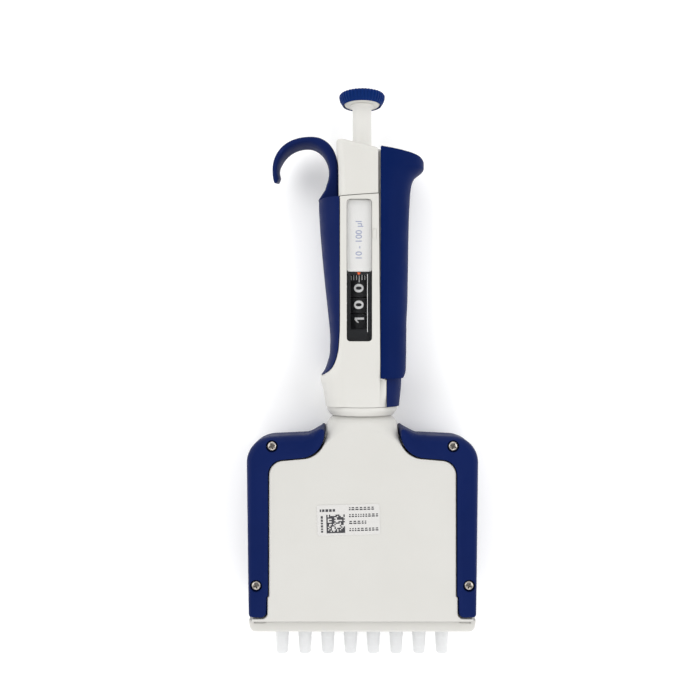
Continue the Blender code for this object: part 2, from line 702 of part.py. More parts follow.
def level_ring(radius, x, y, z, segments):
    """A ring of points round an upright line."""
    turns = [2 * math.pi * k / segments for k in range(segments)]
    return [(x + radius * math.cos(a), y + radius * math.sin(a), z) for a in turns]


def upright(name, radius, x, y, z_low, z_high, material, segments=20):
    """A round bar along Z."""
    return loft(name, [level_ring(radius, x, y, z, segments) for z in (z_low, z_high)], material)


def screw(name, x, y, material):
    """A pan-head screw with a plain shank."""
    under_head = SCREW_SEAT_Z + GAP
    profile = [(SCREW_HEAD_R, under_head + 1.0), (SCREW_HEAD_R, under_head), (1.1, under_head), (1.1, 20.8)]
    loft(name, [level_ring(radius, x, y, z, 20) for radius, z in profile], material)


def build_label(materials):
    """The paper label, stuck a little askew on the front cover."""
    centre_x, centre_y = LABEL_CENTRE
    half_x, half_y = LABEL_HALF
    placed = []
    for x, y in box_outline(-half_x, -half_y, half_x, half_y, 0.8):
        placed.append((centre_x + x * math.cos(LABEL_TURN) - y * math.sin(LABEL_TURN),
                       centre_y + x * math.sin(LABEL_TURN) + y * math.cos(LABEL_TURN)))
    face = AXIS_Z + COVER_FACE
    plate("asset_label", placed, face + 0.02, face + 0.12, materials["paper"])


def build_head(materials):
    blue = materials["blue"]
    head_cover("head_front_cover", 1, materials)
    head_cover("head_rear_cover", -1, materials)
    frames = {
        -1: side_frame("left_side_frame", True, materials),
        1: side_frame("right_side_frame", False, materials),
    }
    for name, (x, y) in SCREW_PLACES.items():
        frame = frames[1 if x > 0 else -1]
        combine(frame, upright(name + "_boss", 2.4, x, y, 20.5, 26.0, blue), "UNION")
        combine(frame, upright(name + "_seat", SCREW_HEAD_R + 0.5, x, y, SCREW_SEAT_Z, 30.0, blue))
        combine(frame, upright(name + "_hole", 1.45, x, y, 18.0, 28.0, blue))
        screw(name, x, y, materials["steel"])


def build_cylinders(materials):
    """The cylinder block, its seal, the bar that carries the pistons, and the nozzles."""
    low, high = BLOCK_Y
    z_low, z_high = BLOCK_Z
    cylinders = block("cylinder_block", (-BLOCK_HALF_X, low, z_low), (BLOCK_HALF_X, high, z_high),
                      materials["white"])
    seal_low, seal_high = SEAL_Y
    seal = block("seal_plate", (-BLOCK_HALF_X, seal_low, z_low), (BLOCK_HALF_X, seal_high, z_high),
                 materials["seal"])
    bar_low, bar_high = BAR_Y
    bar = block("piston_bar", (-BAR_HALF_X, bar_low, AXIS_Z - 4.0), (BAR_HALF_X, bar_high, AXIS_Z + 4.0),
                materials["nozzle"])
    combine(bar, rod("rod_socket", ROD_R + 0.35, bar_high - 4.0, bar_high + 4.0, materials["nozzle"]))
    for k, x in enumerate(CHANNEL_X):
        number = k + 1
        combine(cylinders, rod(f"bore_{number}", CYLINDER_R, low - 3, high + 3, materials["white"], x, 12))
        combine(seal, rod(f"seal_hole_{number}", CYLINDER_R, seal_low - 3, seal_high + 3,
                          materials["seal"], x, 12))
        rod(f"piston_{number}", PISTON_R, PISTON_END_Y, bar_low - GAP, materials["steel"], x, 12)
        nozzle(f"nozzle_{number}", x, materials["nozzle"])


def nozzle(name, x, material):
    """A tip cone with its flange under the cylinder block and an air bore right through."""
    end = NOZZLE_END_Y
    profile = [(0.9, end), (1.8, end), (2.1, end + 0.4), (2.3, end + 5.2), (2.55, end + 11.75),
               (2.55, FLANGE_Y), (3.4, FLANGE_Y), (3.4, NOZZLE_TOP_Y), (0.9, NOZZLE_TOP_Y)]
    return turned(name, profile, material, x, 16)


def main():
    for old in list(bpy.data.objects):
        bpy.data.objects.remove(old, do_unlink=True)
    materials = make_materials()
    build_handle(materials)
    build_top_cover(materials)
    build_hook(materials)
    build_counter(materials)
    build_plunger(materials)
    build_inner_frame(materials)
    build_ejector(materials)
    build_ejector_bar(materials)
    build_neck(materials)
    build_head(materials)
    build_cylinders(materials)
    build_label(materials)


main()
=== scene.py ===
"""Looks of the eight-channel hand pipette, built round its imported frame.

Shapes are worked out in millimetres in the frame's own axes and become metres where a mesh is made:
X across the head, Y along the pipette towards the push button, Z up from the surface it lies on.
"""

import json
import random
from math import acos, asin, atan2, ceil, copysign, cos, dist, pi, radians, sin, sqrt, tan

import bmesh
import bpy
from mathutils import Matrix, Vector

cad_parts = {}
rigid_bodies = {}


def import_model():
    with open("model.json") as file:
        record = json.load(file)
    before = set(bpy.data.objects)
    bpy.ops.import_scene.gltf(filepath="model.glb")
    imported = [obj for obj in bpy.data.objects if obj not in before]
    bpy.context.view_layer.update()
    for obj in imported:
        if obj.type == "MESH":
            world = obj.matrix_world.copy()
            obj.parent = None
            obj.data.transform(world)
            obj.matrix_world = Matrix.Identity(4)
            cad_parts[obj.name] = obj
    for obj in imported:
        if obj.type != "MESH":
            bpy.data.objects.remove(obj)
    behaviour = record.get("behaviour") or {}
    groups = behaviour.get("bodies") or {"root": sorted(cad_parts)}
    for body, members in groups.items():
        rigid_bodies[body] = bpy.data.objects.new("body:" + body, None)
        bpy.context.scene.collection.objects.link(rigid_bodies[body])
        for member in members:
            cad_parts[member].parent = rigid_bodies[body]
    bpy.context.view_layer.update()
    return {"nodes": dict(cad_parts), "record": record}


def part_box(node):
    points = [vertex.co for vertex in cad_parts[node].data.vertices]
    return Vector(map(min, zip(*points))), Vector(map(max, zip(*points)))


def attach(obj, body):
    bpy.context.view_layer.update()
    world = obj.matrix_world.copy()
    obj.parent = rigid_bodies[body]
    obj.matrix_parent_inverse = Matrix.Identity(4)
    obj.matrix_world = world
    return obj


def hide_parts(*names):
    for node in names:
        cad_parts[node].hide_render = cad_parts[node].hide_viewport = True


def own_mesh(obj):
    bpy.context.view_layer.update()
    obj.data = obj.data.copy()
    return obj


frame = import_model()

# Sizes in millimetres. HALF is half the thickness, GAP the usual gap between pieces and PITCH the distance
# between nozzles; WINDOW and TAB are openings in the handle, as low x, low y, high x, high y.
MM = 0.001
AXIS_Z = 14.0
HALF = 14.0
GAP = 0.3
PITCH = 9.0
WINDOW = (-6.0, 12.6, 3.6, 66.55)
TAB = (3.8, 51.2, 5.4, 55.3)
CHANNEL_X = [(k - 3.5) * PITCH for k in range(8)]


# ---- nodes and materials

class Nodes:
    """A short way to build the node tree of a new material or world."""

    def __init__(self, name, kind=bpy.data.materials, shader="Principled BSDF"):
        self.made = kind.new(name)
        self.made.use_nodes = True
        self.tree = self.made.node_tree
        self.shader = self.tree.nodes[shader]

    def add(self, kind, inputs=None, **settings):
        node = self.tree.nodes.new(kind)
        for key, value in settings.items():
            setattr(node, key, value)
        for key, value in (inputs or {}).items():
            if isinstance(value, bpy.types.NodeSocket):
                self.tree.links.new(value, node.inputs[key])
            else:
                node.inputs[key].default_value = value
        return node

    def link(self, output, name):
        self.tree.links.new(output, self.shader.inputs[name])

    def set(self, **values):
        for key, value in values.items():
            self.shader.inputs[key.replace("_", " ")].default_value = value

    def place(self):
        return self.add("ShaderNodeTexCoord").outputs["Object"]

    def noise(self, scale, detail=3.0, roughness=0.55, vector=None):
        inputs = {"Vector": vector or self.place(), "Scale": scale, "Detail": detail, "Roughness": roughness}
        return self.add("ShaderNodeTexNoise", inputs).outputs["Fac"]

    def ramp(self, fac, low, high, from_low=0.3, from_high=0.7):
        inputs = {"Value": fac, "From Min": from_low, "From Max": from_high, "To Min": low, "To Max": high}
        return self.add("ShaderNodeMapRange", inputs).outputs["Result"]

    def mix(self, fac, first, second):
        return self.add("ShaderNodeMix", {0: fac, 6: first, 7: second}, data_type="RGBA").outputs[2]

    def bump(self, height, strength, distance, normal=None):
        inputs = {"Height": height, "Strength": strength, "Distance": distance}
        if normal:
            inputs["Normal"] = normal
        return self.add("ShaderNodeBump", inputs).outputs["Normal"]


def moulded(name, color, shade, roughness, grain, specular=0.5, edge=None, speck=None):
    """Moulded plastic: faint colour drift, uneven gloss, a fine spark-eroded grain, and edges lightened by
    rubbing and by a painted highlight.
    """
    nodes = Nodes(name)
    drift = nodes.ramp(nodes.noise(45.0, 4.0), 0.0, 1.0)
    tone = nodes.mix(drift, (*color, 1.0), (*shade, 1.0))
    # Convex edges take the lighter edge colour: partly rubbed wear, partly a painted highlight along the
    # bevels.
    if edge:
        bevel = nodes.add("ShaderNodeNewGeometry").outputs["Pointiness"]
        worn_and_lit_edge = nodes.ramp(bevel, 0.0, 1.0, 0.52, 0.62)
        patchy = nodes.ramp(nodes.noise(600.0, 3.0), 0.2, 1.0)
        amount = nodes.add("ShaderNodeMath", {0: worn_and_lit_edge, 1: patchy}, operation="MULTIPLY").outputs[0]
        tone = nodes.mix(amount, tone, (*edge, 1.0))
    if speck:
        dots = nodes.ramp(nodes.noise(2600.0, 2.0), 0.0, 1.0, 0.7, 0.76)
        tone = nodes.mix(dots, tone, (*speck, 1.0))
    nodes.link(tone, "Base Color")
    gloss = nodes.ramp(nodes.noise(160.0, 5.0), roughness[0], roughness[1])
    nodes.link(gloss, "Roughness")
    fine = nodes.bump(nodes.noise(4200.0, 2.0), 0.35, grain)
    nodes.link(nodes.bump(nodes.noise(70.0, 2.0), 0.15, 0.0002, fine), "Normal")
    nodes.set(Specular_IOR_Level=specular)
    return nodes.made


def metal(name, color, roughness, stretch=(1.0, 1.0, 1.0)):
    """Turned or drawn metal, with fine marks along one way."""
    nodes = Nodes(name)
    mapping = nodes.add("ShaderNodeMapping", {"Vector": nodes.place(), "Scale": stretch})
    marks = nodes.noise(3000.0, 4.0, vector=mapping.outputs["Vector"])
    nodes.link(nodes.ramp(marks, roughness[0], roughness[1]), "Roughness")
    dull = tuple(value * 0.8 for value in color)
    nodes.link(nodes.mix(nodes.ramp(nodes.noise(300.0), 0.0, 1.0), (*color, 1.0), (*dull, 1.0)), "Base Color")
    nodes.link(nodes.bump(marks, 0.2, 0.00001), "Normal")
    nodes.set(Metallic=1.0)
    return nodes.made


def clear_plastic(name):
    """The clear window: polished, seen mostly by what its edges and slanting light reflect."""
    nodes = Nodes(name)
    nodes.set(Base_Color=(0.02, 0.02, 0.021, 1.0), Specular_IOR_Level=0.5)
    slant = nodes.add("ShaderNodeLayerWeight", {"Blend": 0.35}).outputs["Facing"]
    nodes.link(nodes.ramp(slant, 0.04, 0.45, 0.25, 1.0), "Alpha")
    nodes.link(nodes.ramp(nodes.noise(220.0, 4.0), 0.04, 0.12), "Roughness")
    return nodes.made


def paper(name, color):
    nodes = Nodes(name)
    fibres = nodes.noise(2500.0, 6.0, 0.7)
    dim = tuple(value * 0.93 for value in color)
    nodes.link(nodes.mix(nodes.ramp(fibres, 0.0, 1.0), (*color, 1.0), (*dim, 1.0)), "Base Color")
    nodes.link(nodes.bump(fibres, 0.3, 0.00003), "Normal")
    nodes.set(Roughness=0.75, Specular_IOR_Level=0.3)
    return nodes.made


def ink(name, color, roughness=0.6):
    """Print: a little uneven, as a pad or thermal print is."""
    nodes = Nodes(name)
    thin = tuple(min(1.0, value * 1.25 + 0.01) for value in color)
    cover = nodes.ramp(nodes.noise(1800.0, 4.0), 0.0, 1.0)
    nodes.link(nodes.mix(cover, (*color, 1.0), (*thin, 1.0)), "Base Color")
    nodes.set(Roughness=roughness, Specular_IOR_Level=0.3)
    return nodes.made


WHITE = moulded("white_plastic", (0.553, 0.545, 0.518), (0.537, 0.528, 0.498), (0.38, 0.5), 0.00002, 0.3)
# Painted shade: a darker copy of the white plastic, so that the head covers read darker than their lighting
# makes them.
HEAD_SHADED_WHITE = moulded("head_shaded_white_plastic", (0.535, 0.528, 0.503), (0.52, 0.512, 0.485), (0.38, 0.5), 0.00002,
                     0.3)
# Painted light: a lighter copy of the white plastic, so that the stem and insert read brighter than their
# lighting makes them.
STEM_LIT_WHITE = moulded("stem_lit_white_plastic", (0.64, 0.632, 0.6), (0.62, 0.61, 0.58), (0.38, 0.5), 0.00002, 0.3)
BRIGHT = moulded("nozzle_plastic", (0.63, 0.635, 0.64), (0.605, 0.61, 0.617), (0.3, 0.42), 0.00001, 0.4)
# The edge colours below are partly rubbed wear and partly a painted highlight on convex edges.
BLUE = moulded("blue_plastic", (0.003, 0.0098, 0.063), (0.004, 0.0115, 0.071), (0.42, 0.55), 0.00003, 0.05,
               edge=(0.009, 0.018, 0.09), speck=(0.006, 0.013, 0.08))
# Painted shade: a darker copy of the blue plastic, so that the ejector button reads darker than its lighting
# makes it.
SLIDE_SHADED_BLUE = moulded("slide_shaded_blue_plastic", (0.0012, 0.0082, 0.06), (0.0018, 0.0098, 0.068), (0.42, 0.55),
                     0.00003, 0.03, edge=(0.006, 0.016, 0.085), speck=(0.004, 0.011, 0.075))
KNOB_BLUE = moulded("knob_blue_plastic", (0.001, 0.0155, 0.1), (0.0015, 0.0175, 0.11), (0.4, 0.5), 0.00002,
                    0.05)
BLACK = moulded("black_plastic", (0.012, 0.013, 0.015), (0.018, 0.019, 0.021), (0.3, 0.45), 0.00002, 0.4)
DRUM = moulded("drum_plastic", (0.010, 0.011, 0.013), (0.016, 0.017, 0.019), (0.35, 0.5), 0.00001, 0.4)
GLASS = clear_plastic("window_plastic")
PAPER = paper("label_paper", (0.56, 0.552, 0.537))
CARD = paper("card_paper", (0.76, 0.757, 0.745))
STEEL = metal("stainless_steel", (0.55, 0.55, 0.54), (0.22, 0.38), (1.0, 0.05, 1.0))
SCREW = metal("screw_steel", (0.40, 0.37, 0.335), (0.25, 0.4))
BRASS = metal("brass", (0.68, 0.48, 0.2), (0.25, 0.4), (1.0, 0.08, 1.0))
SEAL = moulded("seal_rubber", (0.02, 0.02, 0.02), (0.03, 0.03, 0.03), (0.7, 0.85), 0.00003, 0.2)
# Print on the wheels, also used for a painted highlight beside the counter bezel's opening.
WHITE_INK_AND_HIGHLIGHT = ink("white_ink_and_highlight", (0.86, 0.87, 0.87))
ORANGE_INK = ink("orange_ink", (0.72, 0.11, 0.025))
BLACK_INK = ink("black_ink", (0.035, 0.035, 0.04))
BLUE_INK = ink("blue_grey_ink", (0.25, 0.28, 0.42))
SLOTS = {
    "white": (WHITE, HEAD_SHADED_WHITE, STEM_LIT_WHITE), "blue": (BLUE, SLIDE_SHADED_BLUE, KNOB_BLUE), "nozzle": (BRIGHT,),
    "black": (BLACK, DRUM, WHITE_INK_AND_HIGHLIGHT), "clear": (GLASS,), "paper": (PAPER, CARD, BLACK_INK, BLUE_INK),
    "orange": (ORANGE_INK,), "steel": (STEEL, SCREW), "brass": (BRASS,), "seal": (SEAL,),
}
SLOT_OF = {material.name: slot for slot, materials in SLOTS.items() for material in materials}


# ---- mesh helpers

def clean_mesh(name, points, faces):
    """A mesh from points in millimetres, with its faces turned outwards."""
    mesh = bpy.data.meshes.new(name)
    mesh.from_pydata([Vector(point) * MM for point in points], [], faces)
    shape = bmesh.new()
    shape.from_mesh(mesh)
    bmesh.ops.remove_doubles(shape, verts=shape.verts, dist=1e-7)
    bmesh.ops.recalc_face_normals(shape, faces=shape.faces)
    shape.to_mesh(mesh)
    shape.free()
    return mesh


def add_object(name, data):
    thing = bpy.data.objects.new(name, data)
    bpy.context.scene.collection.objects.link(thing)
    return thing


def finish_piece(name, mesh, material, body, stands_for=(), sharp=32.0):
    """Shows a mesh in its material as a piece riding on a body, or as a cutting shape without one."""
    mesh.materials.append(material)
    mesh.shade_smooth()
    mesh.set_sharp_from_angle(angle=radians(sharp))
    thing = add_object(name, mesh)
    if body:
        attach(thing, body)
    if stands_for:
        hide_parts(*stands_for)
    return thing


def piece(name, points, faces, material, body, **extra):
    return finish_piece(name, clean_mesh(name, points, faces), material, body, **extra)


def ring_faces(count, rings, looped):
    """The faces between rings of points, with both ends closed or the last ring joined to the first."""
    faces = []
    for k in range(rings if looped else rings - 1):
        here = k * count
        there = (k + 1) % rings * count
        for i in range(count):
            j = (i + 1) % count
            faces.append((here + i, here + j, there + j, there + i))
    if not looped:
        faces.append(tuple(range(count)))
        faces.append(tuple(range((rings - 1) * count, rings * count)))
    return faces


def loft(name, rings, material, body, looped=False, **extra):
    points = [point for ring in rings for point in ring]
    faces = ring_faces(len(rings[0]), len(rings), looped)
    return piece(name, points, faces, material, body, **extra)


def turns(count):
    return [2 * pi * k / count for k in range(count)]


def quarter(steps):
    """What is left of the sine and of the cosine at steps through a quarter turn, for a rounded edge."""
    angles = [pi / 2 * k / steps for k in range(steps + 1)]
    return [(1 - sin(angle), 1 - cos(angle)) for angle in angles]


def circle(radius, y, x=0.0, segments=64):
    return [(x + radius * cos(angle), y, AXIS_Z + radius * sin(angle)) for angle in turns(segments)]


def turned(name, profile, material, body, x=0.0, segments=64, **extra):
    """Turns a profile of (radius, y) round the line along Y through (x, AXIS_Z)."""
    looped = profile[0][0] > 0 and profile[-1][0] > 0
    if not looped:
        profile = profile[1:-1]
    rings = [circle(r, y, x, segments) for r, y in profile]
    return loft(name, rings, material, body, looped=looped, **extra)


def eased(corners, steps=4):
    """A profile of (radius, y, easing) corners with each corner rounded."""
    return rounded(corners, steps, closed=False)


def rounded(corners, steps=8, closed=True):
    """An outline from corners (x, y, radius), with an arc at each corner that has a radius."""
    outline = []
    last = len(corners) - 1
    for k, (x, y, radius) in enumerate(corners):
        if radius <= 0 or (not closed and k in (0, last)):
            outline.append((x, y))
            continue
        here = Vector((x, y))
        way_in = (Vector(corners[k - 1][:2]) - here).normalized()
        way_out = (Vector(corners[(k + 1) % len(corners)][:2]) - here).normalized()
        half = way_in.angle(way_out) / 2
        if half > pi / 2 - 1e-3:
            outline.append((x, y))
            continue
        centre = here + (way_in + way_out).normalized() * radius / sin(half)
        start = here + way_in * radius / tan(half) - centre
        end = here + way_out * radius / tan(half) - centre
        sweep = atan2(start.x * end.y - start.y * end.x, start.dot(end))
        first = atan2(start.y, start.x)
        for s in range(steps + 1):
            angle = first + sweep * s / steps
            outline.append((centre.x + radius * cos(angle), centre.y + radius * sin(angle)))
    return outline


def inward(outline, distance):
    """An outline moved inwards; distance is one number, or one for each point."""
    count = len(outline)
    area = sum(outline[k][0] * outline[(k + 1) % count][1] - outline[(k + 1) % count][0] * outline[k][1]
               for k in range(count))
    side = 1.0 if area > 0 else -1.0
    moved = []
    for k, (x, y) in enumerate(outline):
        before = Vector(outline[k - 1])
        after = Vector(outline[(k + 1) % count])
        way_in = (Vector((x, y)) - before).normalized()
        way_out = (after - Vector((x, y))).normalized()
        along = way_in + way_out
        along = along.normalized() if along.length > 1e-6 else way_in
        shift = distance[k] if isinstance(distance, list) else distance
        moved.append((x - side * along.y * shift, y + side * along.x * shift))
    return moved


def padded_plate(name, outline, z_low, z_high, edge, material, body, insets=None, steps=5, lean=0.0, **extra):
    """A plan outline raised from z_low to z_high with rounded long edges.

    insets scales the rounding at each point of the outline, and is 1 where it isn't given.
    lean draws the lower half in towards the bottom by up to that much."""
    insets = insets or [1.0] * len(outline)
    width, height = edge
    edges = [(height * sine, width * cosine) for sine, cosine in quarter(steps)]
    middle = (z_low + z_high) / 2
    levels = [(z_low + rise, inset + lean * (1 - rise / (middle - z_low)) ** 1.5)
              for rise, inset in reversed(edges)]
    if lean > 0:
        levels += [(z_low + (middle - z_low) * share, lean * (1 - share) ** 1.5) for share in (0.5, 0.75)]
        levels.append((middle, 0.0))
    levels += [(z_high - rise, inset) for rise, inset in edges]
    rings = []
    for z, inset in levels:
        rings.append([(x, y, z) for x, y in inward(outline, [inset * share for share in insets])])
    return loft(name, rings, material, body, **extra)


def soften(thing, width, segments=3, angle=40.0):
    """A Bevel modifier for the edges of a piece."""
    bevel = thing.modifiers.new("rounded_edges", "BEVEL")
    bevel.width = width * MM
    bevel.segments = segments
    bevel.limit_method = "ANGLE"
    bevel.angle_limit = radians(angle)
    bevel.use_clamp_overlap = True


def even_shading(thing):
    """Lets broad flat faces keep flat shading beside their rounded edges."""
    normals = thing.modifiers.new("even_shading", "WEIGHTED_NORMAL")
    normals.keep_sharp = True
    normals.weight = 100


def cutter(name, outline, z_low, z_high):
    """A cutting shape, which isn't shown."""
    points = [(x, y, z) for z in (z_low, z_high) for x, y in outline]
    return add_object(name, clean_mesh(name, points, ring_faces(len(outline), 2, False)))


def cut(thing, tools, sharp):
    """Cuts tools from a piece for good, and removes them; edges sharper than sharp degrees stay sharp."""
    for tool in tools:
        modifier = thing.modifiers.new("cut", "BOOLEAN")
        modifier.operation = "DIFFERENCE"
        modifier.solver = "EXACT"
        modifier.object = tool
    bpy.context.view_layer.update()
    graph = bpy.context.evaluated_depsgraph_get()
    mesh = bpy.data.meshes.new_from_object(thing.evaluated_get(graph))
    thing.modifiers.clear()
    thing.data = mesh
    mesh.set_sharp_from_angle(angle=radians(sharp))
    for tool in tools:
        bpy.data.objects.remove(tool, do_unlink=True)


def disc_outline(radius, x, y):
    return [(x + radius * cos(angle), y + radius * sin(angle)) for angle in turns(40)]


def box_outline(x_low, y_low, x_high, y_high, radius=0.0):
    corners = [(x_low, y_low), (x_high, y_low), (x_high, y_high), (x_low, y_high)]
    return rounded([(x, y, radius) for x, y in corners], 6)


def curve_through(table, y):
    """A smooth curve through (y, value) points given from high y to low y, with no overshoot."""
    if y >= table[0][0]:
        return table[0][1]
    if y <= table[-1][0]:
        return table[-1][1]
    slopes = [(b[1] - a[1]) / (b[0] - a[0]) for a, b in zip(table, table[1:])]
    tangents = [slopes[0]]
    for first, second in zip(slopes, slopes[1:]):
        tangents.append(0.0 if first * second <= 0 else 2 * first * second / (first + second))
    tangents.append(slopes[-1])
    k = next(i for i in range(len(table) - 1) if y >= table[i + 1][0])
    (y0, v0), (y1, v1) = table[k], table[k + 1]
    span = y1 - y0
    t = (y - y0) / span
    return (v0 * (2 * t ** 3 - 3 * t ** 2 + 1) + tangents[k] * span * (t ** 3 - 2 * t ** 2 + t)
            + v1 * (3 * t ** 2 - 2 * t ** 3) + tangents[k + 1] * span * (t ** 3 - t ** 2))


def stations(high, low, step):
    """Places from high to low, or from low to high, about a step apart."""
    count = max(1, round(abs(high - low) / step))
    return [high + (low - high) * k / count for k in range(count + 1)]


def smoothstep(low, high, value):
    share = min(1.0, max(0.0, (value - low) / (high - low)))
    return share * share * (3 - 2 * share)


# ---- handle sections

# Edges as (y, x), from the top down.
GRIP_EDGE = [(68.6, -17.0), (65.5, -17.0), (60.8, -16.8), (56, -16.5), (46.5, -15.7), (37, -14.8),
             (27.5, -13.8), (22.8, -13.3), (18, -12.8), (13.3, -12.55), (8.6, -12.7), (3.8, -13.9),
             (1.2, -15.0), (-0.35, -16.1), (-1.2, -16.35), (-6, -15.3), (-12.45, -14.3)]
SEAM_EDGE = [(22, -8.5), (17, -8.55), (13.5, -8.75), (10, -9.0), (7, -9.6), (4.3, -10.5), (2, -11.9),
             (0.6, -13.6), (-0.2, -15.3)]
CORE_RIGHT = [(24, 15.3), (12, 13.7), (-1.25, 13.7), (-12.45, 13.2)]
EJECTOR_EDGE = [(84.3, 24.35), (80.8, 24.35), (79.8, 23.9), (78.6, 22.3), (77.1, 20.75), (75.2, 19.85),
                (73.3, 19.35), (69.9, 18.95), (58.3, 18.4), (47.7, 18.2), (38.2, 18.05), (28.7, 17.9),
                (23, 17.62), (19, 17.48), (9.75, 17.4), (0, 17.2), (-1.25, 17.1)]
GUIDE_EDGE = [(8.0, 15.5), (-1.25, 15.5), (-12.5, 14.6)]
BAND_RIGHT = [(68.0, 6.0), (5.0, 6.55)]
# Where the rounded left and right sides begin, and the power that rounds them.
LEFT_X = -7.0
RIGHT_X = 5.0
ROUNDNESS = 2.4
# Heights over the axis: the white core, the coloured skins' inner sides, and the ejector's over its guide.
CORE = 11.9
LINING = 12.3
OVER_GUIDE = 12.9
BORE_R = 12.2
SKIN = 1.3
GRIP_TIP = -0.2
GRIP_DROP = 1.0
SHELL_Y = (68.55, -12.45)
PARTING_SLANT = 0.07
# The flat below the ejector that its guide sits against.
FLAT_RIGHT = 9.05
FLAT_STEP = 0.2
FLAT_TOP = 12.4
EJECTOR_LEFT = 6.9
EJECTOR_BOTTOM = -1.5
EJECTOR_TOP = 86.2
LEDGE_Y = 80.2
EJECTOR_INNER = 15.8
GUIDE_LEFT = 9.25


def parting(x, share=1.0):
    """How far the slanting line between the handle and its top cover lies above its height at X 6."""
    return PARTING_SLANT * share * (x - 6.0)


def side_height(centre, edge, half, x):
    share = min(1.0, max(0.0, (x - centre) / (edge - centre)))
    return half * (1 - share ** ROUNDNESS) ** (1 / ROUNDNESS)


def side_arc(centre, edge, half, stop, count):
    """(x, height) from a rounded side's edge up to where x is stop."""
    share = min(0.999, abs(stop - centre) / abs(edge - centre))
    last = acos(share ** (ROUNDNESS / 2))
    arc = []
    for k in range(count):
        angle = last * k / (count - 1)
        reach = cos(angle) ** (2 / ROUNDNESS)
        arc.append((centre + (edge - centre) * reach, half * sin(angle) ** (2 / ROUNDNESS)))
    return arc


def crescent(y, centre, outer, inner, stop, halves=(HALF, LINING)):
    """A skin's section: round its outer side and back along its inner side."""
    out = side_arc(centre, outer, halves[0], stop, 22)
    back = side_arc(centre, inner, halves[1], stop, 22)
    ring = [(x, y, AXIS_Z - h) for x, h in reversed(out[1:])]
    ring += [(x, y, AXIS_Z + h) for x, h in out]
    ring += [(x, y, AXIS_Z + h) for x, h in reversed(back)]
    return ring + [(x, y, AXIS_Z - h) for x, h in back[1:]]


def crown(x, y):
    """Height of the white band over the axis: nearly flat above and round at the lower end."""
    share = min(1.0, max(0.0, (10.0 - y) / (10.0 - SHELL_Y[1])))
    roundness = 0.12 + 0.88 * share * share
    return HALF - roundness * (HALF - sqrt(HALF ** 2 - x * x))


def side_half(y):
    """Height of the handle's left shoulder, where the rounded side meets the band."""
    return crown(LEFT_X, y)


def shell_section(y):
    """One half of the white handle's outer section, as (x, height over the axis)."""
    edge = curve_through(GRIP_EDGE, y)
    if y > GRIP_TIP - GAP:
        seam = curve_through(SEAM_EDGE, y)
        core_left = edge + SKIN + GAP
        ring = side_arc(LEFT_X, core_left, CORE, max(seam, core_left + 0.3), 12)
    else:
        seam = edge + 2.2
        ring = side_arc(LEFT_X, edge, side_half(y), seam, 12)
    shoulder = [seam + (LEFT_X - seam) * k / 8 for k in range(9)]
    ring += [(x, side_height(LEFT_X, edge, side_half(y), x)) for x in shoulder]
    band_right = curve_through(BAND_RIGHT, y)
    band = [LEFT_X + (band_right - LEFT_X) * k / 10 for k in range(1, 11)]
    ring += [(x, crown(x, y)) for x in band]
    below = y < EJECTOR_BOTTOM - 0.1
    flat_right, step, top = (FLAT_RIGHT, FLAT_STEP, FLAT_TOP) if below else (band_right + 0.1, 0.0, HALF)
    ring += [(x, min(crown(x, y) - step, top)) for x in (band_right + 0.04, flat_right)]
    ring += reversed(side_arc(RIGHT_X, curve_through(CORE_RIGHT, y), CORE, flat_right, 12))
    return ring


def shell_lining(y):
    """The inner side of the same half section, from right to left."""
    share = smoothstep(9.0, -0.2, y)
    left = -(curve_through(GRIP_EDGE, y) + SKIN + GAP) - 1.1
    left += (BORE_R - left) * share
    right = curve_through(CORE_RIGHT, y) - 1.3
    right += (BORE_R - right) * share
    high = 10.4 + (BORE_R - 10.4) * share
    ring = []
    for k in range(19):
        angle = pi * k / 18
        reach = right if cos(angle) > 0 else left
        power = 0.8 + 0.2 * share
        x = copysign(abs(cos(angle)) ** power, cos(angle)) * reach
        ring.append((x, high * sin(angle) ** power))
    return ring


def handle_shell(node, side):
    """Half of the white handle body, front or rear, with its inner side."""
    places = stations(SHELL_Y[0], 22.0, 3.2) + stations(21.0, GRIP_TIP - GAP + 0.02, 0.9)
    places += stations(GRIP_TIP - GAP - 0.02, SHELL_Y[1], 0.8)
    rings = []
    for y in places:
        section = shell_section(y) + shell_lining(y)
        slant = smoothstep(60.0, SHELL_Y[0], y)
        rings.append([(x, y + parting(x, slant), AXIS_Z + side * max(h, GAP / 2)) for x, h in section])
    shell = loft(f"{node}_skin", rings, WHITE, "handle", stands_for=[node])
    tools = [cutter("slot_tool", box_outline(13.0, 50.5, 16.5, 62.5), AXIS_Z - 1.9, AXIS_Z + 1.9)]
    if side > 0:
        tools.append(cutter("window_tool", box_outline(*WINDOW, 1.4), 18.0, 30.0))
        tools.append(cutter("tab_tool", box_outline(*TAB, 0.6), 26.3, 30.0))
    cut(shell, tools, 32)
    soften(shell, 0.28, 3, 42.0)


def build_grip():
    """The blue skin over the handle's left side, with a slanting top edge."""
    rings = []
    for y in stations(SHELL_Y[0], 20.0, 1.6) + stations(19.0, GRIP_TIP, 0.5):
        edge = curve_through(GRIP_EDGE, y)
        seam = curve_through(SEAM_EDGE, y) - GAP
        drop = GRIP_DROP * smoothstep(60.0, SHELL_Y[0], y)
        rings.append(crescent(y - drop, LEFT_X, edge, edge + SKIN, seam, (side_half(y) + 0.05, LINING)))
    grip = loft("front_grip_skin", rings, BLUE, "handle", stands_for=["front_grip"])
    soften(grip, 0.4, 4, 50.0)


def build_guide():
    rings = []
    for y in stations(8.0, -12.4, 1.2):
        edge = curve_through(GUIDE_EDGE, y)
        inner = curve_through(CORE_RIGHT, y) + GAP
        rings.append(crescent(y, RIGHT_X, edge, inner, GUIDE_LEFT, (12.5, CORE + GAP)))
    guide = loft("ejector_guide_skin", rings, BLUE, "handle", stands_for=["ejector_guide"])
    soften(guide, 0.12, 2, 50.0)


def ledge_drop(x):
    """How far the ejector's top edge lies below its left end: a slope that rounds off at the right."""
    return 0.155 * (x - EJECTOR_LEFT) + 0.8 * max(0.0, (x - 20.5) / 3.7) ** 2


